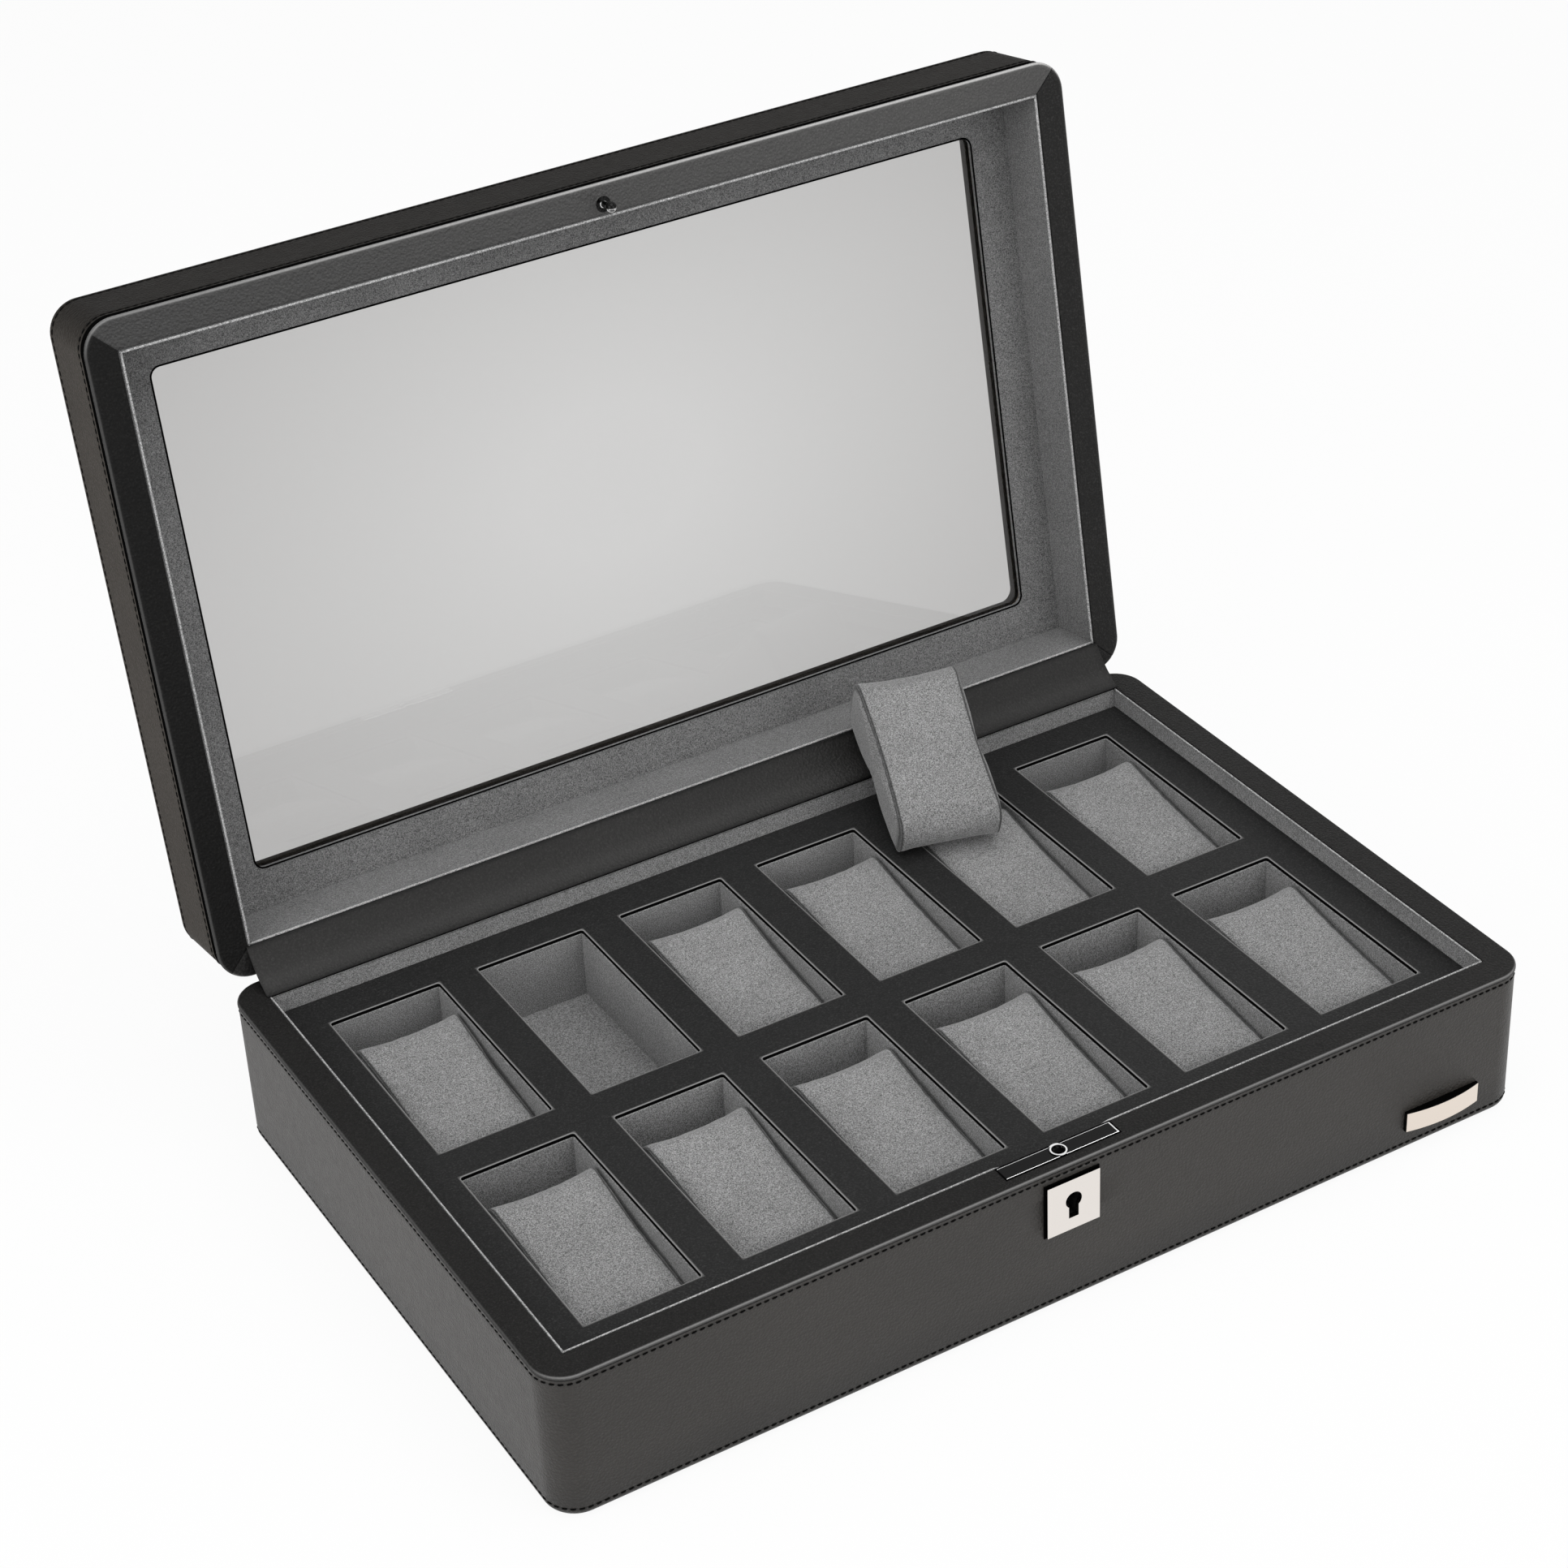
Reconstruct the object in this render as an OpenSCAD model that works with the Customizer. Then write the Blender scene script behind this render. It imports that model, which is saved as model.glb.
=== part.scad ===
// Watch box: two rows of suede cushions under a glass lid, with a lock and a leather hinge strip.
// Origin: middle of the base's underside. X right, Y back, Z up. The lid stands open.

/* [Compartments] */
// Width of one window in the tray plate
window_w = 44; // [40:0.5:56]
// Depth of one window, front to back
window_d = 90; // [84:1:110]
// Width of the bars between the windows
bar_w = 16; // [10:0.5:24]
// Plate left between the outer windows and the side walls
side_margin = 15.5; // [10:0.5:24]
// Plate left in front of the front row and behind the rear row
end_margin = 16; // [10:0.5:24]
// Depth of a compartment below the plate's top face
compartment_depth = 29; // [27:0.5:34]
// Suede edge left in sight inside each window of the plate
window_reveal = 0.6; // [0.3:0.1:1]
// Thickness of the leather-covered tray plate
plate_t = 1.5; // [1:0.25:3]
// Depth of the plate's top face below the base's rim
plate_drop = 8.5; // [6:0.5:12]

/* [Case] */
// Height of the base, from the underside pad to the rim
base_h = 62; // [58:1:80]
// Height of the closed lid above its rim
lid_h = 40; // [37:1:50]
// Gap between the rims when the lid is closed
rim_gap = 1; // [1:0.1:1.5]
// Thickness of the wall boards
board_t = 10; // [9:0.5:14]
// Thickness of the leather
leather_t = 1; // [0.8:0.1:1.4]
// Thickness of the suede linings
lining_t = 1; // [0.8:0.1:1.4]
// Radius of the upright outer corners
corner_r = 12; // [9:0.5:16]
// Radius of the leather at the base's bottom edge
bottom_edge_r = 3; // [1.5:0.5:5]
// Radius of the leather at the lid's top edge
top_edge_r = 4; // [2:0.5:6]
// Thickness of the bottom board
bottom_board_t = 6; // [4:0.5:9]
// Thickness of the pad under the base
pad_t = 1.2; // [0.8:0.1:2]
// Thickness of the false floor under the compartments
false_floor_t = 2; // [1.5:0.5:4]

/* [Lid] */
// Angle at which the lid stands open
open_angle = 100; // [60:1:100]
// Width of the suede frame at the left and right of the glass
frame_w = 16.5; // [12:0.5:24]
// Width of the suede frame in front of and behind the glass
frame_end_w = 16; // [12:0.5:24]
// Thickness of the suede frame under the glass
frame_t = 2; // [1.5:0.5:3]
// Distance from the lid's rim to the suede frame
frame_depth = 25; // [23:0.5:26]
// Thickness of the glass
glass_t = 3; // [2:0.5:4]
// Radius of the window's corners
window_corner_r = 4; // [3:0.5:6]
// Radius of the padded edge round the glass, outside
padded_edge_r = 8; // [3:0.5:8]

/* [Cushions] */
// Length of a cushion, front to back
cushion_l = 70; // [60:1:76]
// Thickness of a cushion at its back end
cushion_back_t = 27.5; // [22:0.5:28]
// Thickness of a cushion at its front end
cushion_front_t = 19; // [14:0.5:24]
// Radius of a cushion's long edges
cushion_edge_r = 6; // [3:0.5:8]

/* [Lock] */
// Width and height of the escutcheon on the front
escutcheon_w = 21.5; // [18:0.5:28]
// Width of the lock's top plate
lock_plate_w = 46.5; // [42:0.5:60]
// Thickness of the lock case, front to back
lock_t = 6.6; // [6.4:0.1:7]
// Diameter of the ball on the catch pin
ball_d = 4; // [3.6:0.1:4.4]
// Width of the bare name plate
name_plate_w = 33; // [24:0.2:44]
// Height of the bare name plate
name_plate_h = 8.4; // [6:0.2:12]

/* [Hinges] */
// Length of each butt hinge
hinge_l = 30; // [20:1:44]
// Outer diameter of the hinge knuckles
knuckle_d = 5; // [4.4:0.1:5.4]
// Diameter of the hinge pins
hinge_pin_d = 2; // [1.6:0.1:2.4]
// Thickness of the leather hinge strip
strip_t = 0.5; // [0.4:0.05:0.6]

/* [Hidden] */

$fn = 64;
eps = 0.01;             // overlap of cutters past a face
slip = 0.2;             // clearance of parts that slide or drop into place
turn_gap = 0.05;        // radial clearance of pins and screws

leather = [0.16, 0.155, 0.15];
suede = [0.50, 0.50, 0.51];
board = [0.72, 0.60, 0.44];
steel = [0.80, 0.80, 0.82];

// Plan sizes, worked out from the compartments outwards
columns = 6;            // compartments in a row, each with a named cushion
inner_w = columns * window_w + (columns - 1) * bar_w + 2 * side_margin;
inner_d = 2 * window_d + bar_w + 2 * end_margin;
wall_t = leather_t + board_t + lining_t;
outer_w = inner_w + 2 * wall_t;
outer_d = inner_d + 2 * wall_t;
pitch_x = window_w + bar_w;
pitch_y = window_d + bar_w;
well_w = window_w - 2 * window_reveal;
well_d = window_d - 2 * window_reveal;

// Heights of the base
board_foot = pad_t + leather_t;
rim_foot = base_h - leather_t;
plate_top = base_h - plate_drop;
plate_foot = plate_top - plate_t;
well_floor = plate_top - compartment_depth;
lining_foot = well_floor - lining_t;
false_floor_foot = lining_foot - false_floor_t;
bottom_board_top = board_foot + bottom_board_t;
liner_drop = 0.7;       // liner's top edge below the rim
liner_top = base_h - liner_drop;

// Heights of the closed lid
lid_foot = base_h + rim_gap;
lid_board_foot = lid_foot + leather_t;
frame_foot = lid_foot + frame_depth;
glass_foot = frame_foot + frame_t;
glass_top = glass_foot + glass_t;
lid_top = lid_foot + lid_h;

// Window of the lid
view_w = inner_w - 2 * frame_w;
view_d = inner_d - 2 * frame_end_w;
glass_lap = 5;          // glass held behind the frame, each side
glass_slip = 0.3;       // clearance round the glass

// Hinge line, just behind the rear wall and level with the lid's rim
axis_y = outer_d / 2 + rim_gap;
axis_z = lid_foot;
knuckle_r = knuckle_d / 2;
knuckle_relief = 0.4;
knuckle_gap = 0.3;
knuckles = 5;
leaf_reach = 10;        // width of a leaf, from the axis inwards
hinge_x = 0.28 * inner_w;
screw_head_r = 2.2;
screw_r = 1.1;
screw_l = 8;
screw_pitch = 16;
screw_y = axis_y - leaf_reach + 3.6;

// Lock, let into the front panel
lock_y = -(inner_d / 2 + lining_t + lock_t / 2);
lock_wall = 0.8;
lock_plate_t = 1;
lock_plate_bevel = 0.45;
lock_case_w = lock_plate_w - 6.5;
lock_case_top = base_h + 0.3 - lock_plate_t;
lock_case_foot = base_h - 24;
keyhole_z = base_h - 15.1;
keyhole_r = 3.3;
keyway_w = 4;
keyway_l = 7.4;
key_r = 1.5;
key_bit_w = 1.6;
key_bit_l = 4;
escutcheon_t = 1.5;
escutcheon_top = base_h - 6.1;
ball_r = ball_d / 2;
ball_reach = 6;         // ball's centre below the lid's rim
neck_r = 1.2;
ball_hole_r = ball_r + 0.5;
catch_plate_r = 3;
catch_plate_t = leather_t;
catch_shank_l = 9;
catch_shank_r = 1.4;
bolt_top = lock_case_top - slip;
bolt_t = 1.8;
bolt_w = lock_t - 2 * lock_wall - 2 * slip;
bolt_travel = 4.2;
bolt_l = 14.3;
tine_l = 6;
fork_w = 2 * neck_r + 0.4;
cam_r = 4.5;
cam_t = 2.6;
cam_angle = 45;
cam_arm = bolt_travel / 2 / sin(cam_angle / 2);
arm_w = 1.2;
arm_tip_r = 1;
boss_r = 2.6;

// Bare name plate at the front right
name_plate_x = outer_w / 2 - 37.6;
name_plate_z = 15;
name_plate_bow = 2;
name_plate_edge = 1.2;
spike_r = 0.8;
spike_l = 4;

// Cushions
cushion_w = well_w - 2 * 0.25;
cushion_seat = well_floor + 0.3;
cushion_front_gap = 6;  // from the front of the well to the cushion
cushion_corner_r = 5;

// The cushion taken out leans back from its thin end, which turns on the tray
loose_x = column_x(5) - 13;
loose_y = pitch_y / 2 + 18.2;
loose_gap = 0.35;
loose_turn = -15;
loose_lean = 22;
thin_end_r = norm([cushion_front_t / 2 - cushion_edge_r, cushion_front_t / 2 - cushion_edge_r])
    + cushion_edge_r;

// ---------- shared shapes ----------

// Rectangle with rounded corners, centred
module rounded_rect(w, d, r) {
    square([w - 2 * r, d], center = true);
    square([w, d - 2 * r], center = true);
    for (sx = [-1, 1], sy = [-1, 1])
        translate([sx * (w / 2 - r), sy * (d / 2 - r)])
            circle(r);
}

// Slab with rounded upright corners from height z0 to z1
module slab(w, d, r, z0, z1) {
    translate([0, 0, z0])
        linear_extrude(z1 - z0)
            rounded_rect(w, d, r);
}

// Square-cornered slab from height z0 to z1
module plain_slab(w, d, z0, z1) {
    translate([-w / 2, -d / 2, z0])
        cube([w, d, z1 - z0]);
}

// Runs a profile once round a rounded rectangle. The profile's x is the
// distance outwards from the corner centres and its y is the height.
module run_round(w, d, r) {
    run_w = w - 2 * r;
    run_d = d - 2 * r;
    for (s = [0, 1]) {
        rotate([0, 0, 180 * s])
            translate([run_w / 2, 0, 0])
                rotate([90, 0, 0])
                    linear_extrude(run_d, center = true)
                        children();
        rotate([0, 0, 90 + 180 * s])
            translate([run_d / 2, 0, 0])
                rotate([90, 0, 0])
                    linear_extrude(run_w, center = true)
                        children();
    }
    for (c = [[1, 1, 0], [-1, 1, 90], [-1, -1, 180], [1, -1, 270]])
        translate([c[0] * run_w / 2, c[1] * run_d / 2, 0])
            rotate([0, 0, c[2]])
                rotate_extrude(angle = 90)
                    children();
}

// Keeps the part of a frame that belongs to one side, cut at 45 degrees
// through the corners. Side 0 is the front, then right, rear and left.
module mitre(side) {
    reach = outer_w;
    across = (outer_w - outer_d) / 2;
    front = [[-across, 0], [across, 0], [across + reach, -reach], [-across - reach, -reach]];
    flank = [[across, 0], [across + reach, -reach], [across + reach, reach]];
    intersection() {
        children();
        translate([0, 0, -1])
            linear_extrude(base_h + lid_h + 10)
                if (side == 0) polygon(front);
                else if (side == 2) mirror([0, 1, 0]) polygon(front);
                else if (side == 1) polygon(flank);
                else mirror([1, 0, 0]) polygon(flank);
    }
}

// Puts what is drawn for the closed lid at the angle of the open lid
module opened() {
    translate([0, axis_y, axis_z])
        rotate([-open_angle, 0, 0])
            translate([0, -axis_y, -axis_z])
                children();
}

// ---------- case of the base ----------

module underside_pad() {
    inset = bottom_edge_r + 1;
    color(leather)
        slab(outer_w - 2 * inset, outer_d - 2 * inset, corner_r - inset, 0, pad_t);
}

module bottom_board() {
    color(board)
        plain_slab(inner_w + 2 * lining_t, inner_d + 2 * lining_t, board_foot, bottom_board_top);
}

// Relief round the hinge knuckles, cut from all that they pass
module knuckle_space() {
    for (s = [-1, 1])
        translate([s * hinge_x, axis_y, axis_z])
            rotate([0, 90, 0])
                cylinder(h = hinge_l + 2 * knuckle_relief, r = knuckle_r + knuckle_relief, center = true);
}

// Flat beds for the hinge leaves in the rim leather, from height z0 to z1
module leaf_beds(z0, z1) {
    for (s = [-1, 1])
        translate([s * hinge_x - hinge_l / 2 - slip, axis_y - leaf_reach - slip, z0])
            cube([hinge_l + 2 * slip, leaf_reach + slip, z1 - z0]);
}

// Holes for the leaf screws, downwards from height z
module screw_holes(z) {
    for (s = [-1, 1], t = [-1, 1])
        translate([s * hinge_x + t * screw_pitch / 2, screw_y, z - screw_l])
            cylinder(h = screw_l, r = screw_r + turn_gap);
}

module base_boards() {
    difference() {
        slab(outer_w - 2 * leather_t, outer_d - 2 * leather_t, corner_r - leather_t,
            board_foot, rim_foot);
        plain_slab(inner_w + 2 * lining_t, inner_d + 2 * lining_t, 0, base_h);
    }
}

module base_front_panel() {
    color(board)
        difference() {
            mitre(0) base_boards();
            lock_mortise();
            keyhole_cut(-outer_d / 2, board_t);
            spikes(turn_gap);
        }
}

module base_rear_panel() {
    color(board)
        difference() {
            mitre(2) base_boards();
            knuckle_space();
            screw_holes(rim_foot + eps);
        }
}

module base_left_panel() {
    color(board) mitre(3) base_boards();
}

module base_right_panel() {
    color(board) mitre(1) base_boards();
}

// Leather on the walls, turned under at the bottom edge
module base_leather_wrap() {
    color(leather)
        difference() {
            union() {
                difference() {
                    slab(outer_w, outer_d, corner_r, pad_t + bottom_edge_r, rim_foot);
                    slab(outer_w - 2 * leather_t, outer_d - 2 * leather_t,
                        corner_r - leather_t, 0, base_h);
                }
                bottom_fold();
            }
            keyhole_cut(-outer_d / 2, board_t);
            spikes(turn_gap);
            knuckle_space();
        }
}

// The rounded bottom edge with the strip of leather turned under the boards
module bottom_fold() {
    turn_under = 16;
    difference() {
        union() {
            slab(outer_w - 2 * bottom_edge_r, outer_d - 2 * bottom_edge_r,
                corner_r - bottom_edge_r, pad_t, board_foot);
            run_round(outer_w, outer_d, corner_r)
                intersection() {
                    translate([corner_r - bottom_edge_r, pad_t + bottom_edge_r])
                        circle(bottom_edge_r);
                    translate([corner_r - bottom_edge_r, pad_t])
                        square([bottom_edge_r, bottom_edge_r]);
                }
        }
        slab(outer_w - 2 * leather_t, outer_d - 2 * leather_t, corner_r - leather_t,
            board_foot, base_h);
        plain_slab(outer_w - 2 * turn_under, outer_d - 2 * turn_under, 0, base_h);
    }
}

// Rim leather laid flat on the boards, from height z0 to z1, with a soft outer edge
module rim_ring(z0, z1) {
    edge_r = 0.4;
    difference() {
        slab(outer_w - 2 * edge_r, outer_d - 2 * edge_r, corner_r - edge_r, z0, z1);
        plain_slab(inner_w + 2 * lining_t, inner_d + 2 * lining_t, z0 - 1, z1 + 1);
    }
}

module base_rim() {
    color(leather)
        difference() {
            for (side = [0:3]) mitre(side) rim_ring(rim_foot, base_h);
            lock_mortise();
            leaf_beds(rim_foot - eps, base_h + 1);
            knuckle_space();
        }
}

// ---------- tray ----------

module floor_battens() {
    batten_w = 12;
    color(board)
        for (s = [-1, 0, 1])
            translate([s * inner_w / 3 - batten_w / 2, -inner_d / 2, bottom_board_top])
                cube([batten_w, inner_d, false_floor_foot - bottom_board_top]);
}

module tray_false_floor() {
    color(board)
        plain_slab(inner_w + 2 * lining_t, inner_d + 2 * lining_t, false_floor_foot, lining_foot);
}

module compartment_floor_lining() {
    color(suede)
        plain_slab(inner_w + 2 * lining_t, inner_d + 2 * lining_t, lining_foot, well_floor);
}

module tray_liner_strips() {
    color(suede)
        difference() {
            for (side = [0:3])
                mitre(side)
                    difference() {
                        plain_slab(inner_w + 2 * lining_t, inner_d + 2 * lining_t,
                            well_floor, liner_top);
                        plain_slab(inner_w, inner_d, 0, base_h);
                    }
            lock_plate_bed();
        }
}

// Suede-faced blocks between the outer compartments and the walls
module edge_blocks() {
    end_w = end_margin + window_reveal;
    side_w = side_margin + window_reveal;
    block_h = plate_foot - well_floor;
    color(suede) {
        for (s = [0, 1])
            mirror([0, s, 0])
                translate([-inner_w / 2, -inner_d / 2, well_floor])
                    cube([inner_w, end_w, block_h]);
        for (s = [0, 1])
            mirror([s, 0, 0])
                translate([-inner_w / 2, -inner_d / 2 + end_w, well_floor])
                    cube([side_w, inner_d - 2 * end_w, block_h]);
    }
}

module long_divider() {
    long_w = bar_w + 2 * window_reveal;
    run = inner_w - 2 * (side_margin + window_reveal);
    color(suede)
        translate([-run / 2, -long_w / 2, well_floor])
            cube([run, long_w, plate_foot - well_floor]);
}

// Dividers between the compartments of one row, row 1 behind and -1 in front
module cross_dividers(row) {
    cross_w = bar_w + 2 * window_reveal;
    color(suede)
        for (i = [1:columns - 1])
            translate([(i - columns / 2) * pitch_x - cross_w / 2,
                row * pitch_y / 2 - well_d / 2, well_floor])
                cube([cross_w, well_d, plate_foot - well_floor]);
}

function column_x(i) = (i - (columns + 1) / 2) * pitch_x;

module tray_plate() {
    window_r = 1;
    color(leather)
        difference() {
            plain_slab(inner_w - slip, inner_d - slip, plate_foot, plate_top);
            for (i = [1:columns], row = [-1, 1])
                translate([column_x(i), row * pitch_y / 2, 0])
                    slab(window_w, window_d, window_r, plate_foot - 1, plate_top + 1);
        }
}

// ---------- lock ----------

module lock_mortise() {
    translate([-lock_case_w / 2 - slip, lock_y - lock_t / 2 - slip, lock_case_foot - slip])
        cube([lock_case_w + 2 * slip, lock_t + 2 * slip + 1, base_h]);
    lock_plate_bed();
}

module lock_plate_bed() {
    translate([-lock_plate_w / 2 - turn_gap, lock_y - lock_t / 2 - turn_gap, lock_case_top])
        cube([lock_plate_w + 2 * turn_gap, lock_t + 2 * turn_gap, base_h]);
}

// Round hole with a slot below it, cut through from depth y by the length t
module keyhole_cut(y, t) {
    translate([0, y - eps, keyhole_z])
        rotate([-90, 0, 0]) {
            cylinder(h = t, r = keyhole_r);
            translate([-keyway_w / 2, 0, 0])
                cube([keyway_w, keyway_l, t]);
        }
}

// Open-topped case with ledges under the bolt, a keyhole and a bearing for the cam
module lock_case() {
    inner_t = lock_t - 2 * lock_wall;
    ledge_t = 1;
    ledge_w = 0.9;
    ledge_l = lock_case_w / 2 - 3;
    color(steel)
        difference() {
            union() {
                difference() {
                    translate([-lock_case_w / 2, lock_y - lock_t / 2, lock_case_foot])
                        cube([lock_case_w, lock_t, lock_case_top - lock_case_foot]);
                    translate([-lock_case_w / 2 + lock_wall, lock_y - inner_t / 2,
                        lock_case_foot + lock_wall])
                        cube([lock_case_w - 2 * lock_wall, inner_t, base_h]);
                }
                for (s = [0, 1])
                    translate([0, lock_y, 0])
                        mirror([0, s, 0])
                            translate([-lock_case_w / 2 + eps, inner_t / 2 - ledge_w,
                                bolt_top - bolt_t - slip - ledge_t])
                                cube([ledge_l, ledge_w + lock_wall / 2, ledge_t]);
            }
            keyhole_cut(lock_y - lock_t / 2, 2 * lock_wall);
            translate([0, lock_y, keyhole_z])
                rotate([-90, 0, 0])
                    cylinder(h = lock_t, r = boss_r + turn_gap);
        }
}

// Key cam: a disc with a keyway, an arm up to the bolt's talon and a boss in the case
module lock_cam() {
    color(steel)
        translate([0, lock_y - cam_t / 2, keyhole_z])
            difference() {
                union() {
                    rotate([-90, 0, 0])
                        cylinder(h = cam_t, r = cam_r);
                    rotate([-90, 0, 0])
                        cylinder(h = cam_t / 2 + lock_t / 2 - slip, r = boss_r);
                    rotate([0, -cam_angle / 2, 0]) {
                        translate([-arm_w / 2, 0, 0])
                            cube([arm_w, cam_t, cam_arm]);
                        translate([0, 0, cam_arm])
                            rotate([-90, 0, 0])
                                cylinder(h = cam_t, r = arm_tip_r);
                    }
                }
                translate([0, -eps, 0])
                    rotate([-90, 0, 0]) {
                        cylinder(h = cam_t, r = key_r);
                        translate([-key_bit_w / 2, 0, 0])
                            cube([key_bit_w, key_bit_l, cam_t]);
                    }
            }
}

// Forked bolt: its tines close round the catch pin's neck, its talon takes the cam's arm
module lock_bolt() {
    tip_x = -ball_r - 0.6;
    web_l = 3.4;
    web_w = cam_t;
    web_x = tip_x - tine_l - web_l + 0.6;
    finger_top = lid_foot - ball_reach - ball_r - 0.3;
    finger_foot = keyhole_z + cam_r + 0.25;
    finger_h = finger_top - finger_foot;
    color(steel)
        difference() {
            union() {
                translate([tip_x - bolt_l, lock_y - bolt_w / 2, bolt_top - bolt_t])
                    cube([bolt_l, bolt_w, bolt_t]);
                translate([web_x, lock_y - web_w / 2, finger_foot])
                    cube([web_l, web_w, bolt_top - finger_foot - eps]);
                translate([web_x, lock_y - web_w / 2, finger_foot])
                    cube([-web_x, web_w, finger_h]);
            }
            translate([tip_x - tine_l + fork_w / 2, lock_y, bolt_top - bolt_t - 1]) {
                cylinder(h = bolt_t + 2, r = fork_w / 2);
                translate([0, -fork_w / 2, 0])
                    cube([tine_l, fork_w, bolt_t + 2]);
            }
            talon_notch(finger_foot);
        }
}

// Notch in the talon, open below, that the cam's arm swings in
module talon_notch(z) {
    notch_w = 2 * arm_tip_r + 0.5;
    translate([-bolt_travel / 2 - notch_w / 2, lock_y - lock_t / 2, z - 1])
        cube([notch_w, lock_t, keyhole_z + cam_arm + arm_tip_r + 0.15 - z + 1]);
}

// Plate over the case with bevelled edges and a raised ring round the ball's hole
module lock_top_plate() {
    ring_r = ball_hole_r + 0.9;
    ring_t = 0.25;
    color(steel)
        difference() {
            union() {
                translate([0, lock_y, lock_case_top])
                    hull()
                        for (step = [0, lock_plate_bevel])
                            translate([-lock_plate_w / 2 + step, -lock_t / 2 + step, 0])
                                cube([lock_plate_w - 2 * step, lock_t - 2 * step,
                                    lock_plate_t - lock_plate_bevel + step]);
                translate([0, lock_y, lock_case_top + lock_plate_t - eps])
                    cylinder(h = ring_t + eps, r = ring_r);
            }
            translate([0, lock_y, lock_case_top - 1])
                cylinder(h = lock_plate_t + 3, r = ball_hole_r);
        }
}

module escutcheon() {
    color(steel)
        difference() {
            union() {
                translate([-escutcheon_w / 2, -outer_d / 2 - escutcheon_t, escutcheon_top - escutcheon_w])
                    cube([escutcheon_w, escutcheon_t, escutcheon_w]);
                escutcheon_spikes(0);
            }
            keyhole_cut(-outer_d / 2 - escutcheon_t, escutcheon_t + 1);
        }
}

module escutcheon_spikes(gap) {
    for (sx = [-1, 1], sz = [0, 1])
        translate([sx * (escutcheon_w / 2 - 2.5), -outer_d / 2 - escutcheon_t / 2,
            escutcheon_top - 2.5 - sz * (escutcheon_w - 5)])
            rotate([-90, 0, 0])
                cylinder(h = spike_l, r = spike_r + gap);
}

module name_plate_spikes(gap) {
    for (s = [-1, 1])
        translate([name_plate_x + s * name_plate_w / 3, -outer_d / 2 - name_plate_edge / 2,
            name_plate_z])
            rotate([-90, 0, 0])
                cylinder(h = spike_l, r = spike_r + gap);
}

module spikes(gap) {
    escutcheon_spikes(gap);
    name_plate_spikes(gap);
}

// Name plate with a flat back and a bowed front face, left bare
module name_plate() {
    half = name_plate_w / 2;
    bow_r = (half * half + name_plate_bow * name_plate_bow) / (2 * name_plate_bow);
    color(steel)
        union() {
            translate([name_plate_x, -outer_d / 2, name_plate_z - name_plate_h / 2])
                intersection() {
                    translate([-half, -name_plate_edge - name_plate_bow, 0])
                        cube([name_plate_w, name_plate_edge + name_plate_bow, name_plate_h]);
                    translate([0, bow_r - name_plate_edge - name_plate_bow, 0])
                        cylinder(h = name_plate_h, r = bow_r, $fn = 180);
                }
            name_plate_spikes(0);
        }
}

// ---------- hinges ----------

// Knuckles of one leaf: every second one, starting at the first or the second
module knuckle_row(start) {
    step = hinge_l / knuckles;
    for (i = [start:2:knuckles - 1])
        translate([-hinge_l / 2 + i * step + (i > 0 ? knuckle_gap / 2 : 0), axis_y, axis_z])
            rotate([0, 90, 0])
                cylinder(h = step - knuckle_gap / (i > 0 && i < knuckles - 1 ? 1 : 2), r = knuckle_r);
}

// One leaf with its knuckles and countersunk holes, its flat between z0 and z1.
// The holes widen towards the face named by up.
module leaf(start, z0, z1, up) {
    step = hinge_l / knuckles;
    difference() {
        union() {
            difference() {
                translate([-hinge_l / 2, axis_y - leaf_reach, z0])
                    cube([hinge_l, leaf_reach, z1 - z0]);
                translate([-hinge_l / 2 - 1, axis_y, axis_z])
                    rotate([0, 90, 0])
                        cylinder(h = hinge_l + 2, r = knuckle_r + knuckle_gap);
            }
            for (i = [start:2:knuckles - 1])
                translate([-hinge_l / 2 + i * step + (i > 0 ? knuckle_gap / 2 : 0),
                    axis_y - knuckle_r - 1, z0])
                    cube([step - knuckle_gap / (i > 0 && i < knuckles - 1 ? 1 : 2),
                        knuckle_r + 1, z1 - z0]);
            knuckle_row(start);
        }
        translate([-hinge_l / 2 - 1, axis_y, axis_z])
            rotate([0, 90, 0])
                cylinder(h = hinge_l + 2, r = hinge_pin_d / 2 + turn_gap);
        for (t = [-1, 1])
            translate([t * screw_pitch / 2, screw_y, up ? z0 : z1])
                mirror([0, 0, up ? 0 : 1])
                    screw_body(turn_gap, z1 - z0);
    }
}

// Countersunk screw, head upwards: cone over the leaf's thickness, shank below
module screw_body(gap, head_h) {
    cylinder(h = head_h + eps, r1 = screw_r + gap, r2 = screw_head_r + gap);
    translate([0, 0, -screw_l + 0.5])
        cylinder(h = screw_l - 0.5 + eps, r = screw_r + gap);
}

module hinge_base_leaves() {
    color(steel)
        for (s = [-1, 1])
            translate([s * hinge_x, 0, 0])
                leaf(0, rim_foot, base_h, true);
}

module hinge_lid_leaves() {
    color(steel)
        opened()
            for (s = [-1, 1])
                translate([s * hinge_x, 0, 0])
                    leaf(1, lid_foot, lid_board_foot, false);
}

module hinge_pins() {
    color(steel)
        for (s = [-1, 1])
            translate([s * hinge_x - hinge_l / 2, axis_y, axis_z])
                rotate([0, 90, 0])
                    cylinder(h = hinge_l, d = hinge_pin_d);
}

module leaf_screws(z, up) {
    for (s = [-1, 1], t = [-1, 1])
        translate([s * hinge_x + t * screw_pitch / 2, screw_y, z])
            mirror([0, 0, up ? 0 : 1])
                screw_body(0, leather_t);
}

module hinge_base_screws() {
    color(steel) leaf_screws(rim_foot, true);
}

module hinge_lid_screws() {
    color(steel) opened() leaf_screws(lid_board_foot, false);
}

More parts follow.
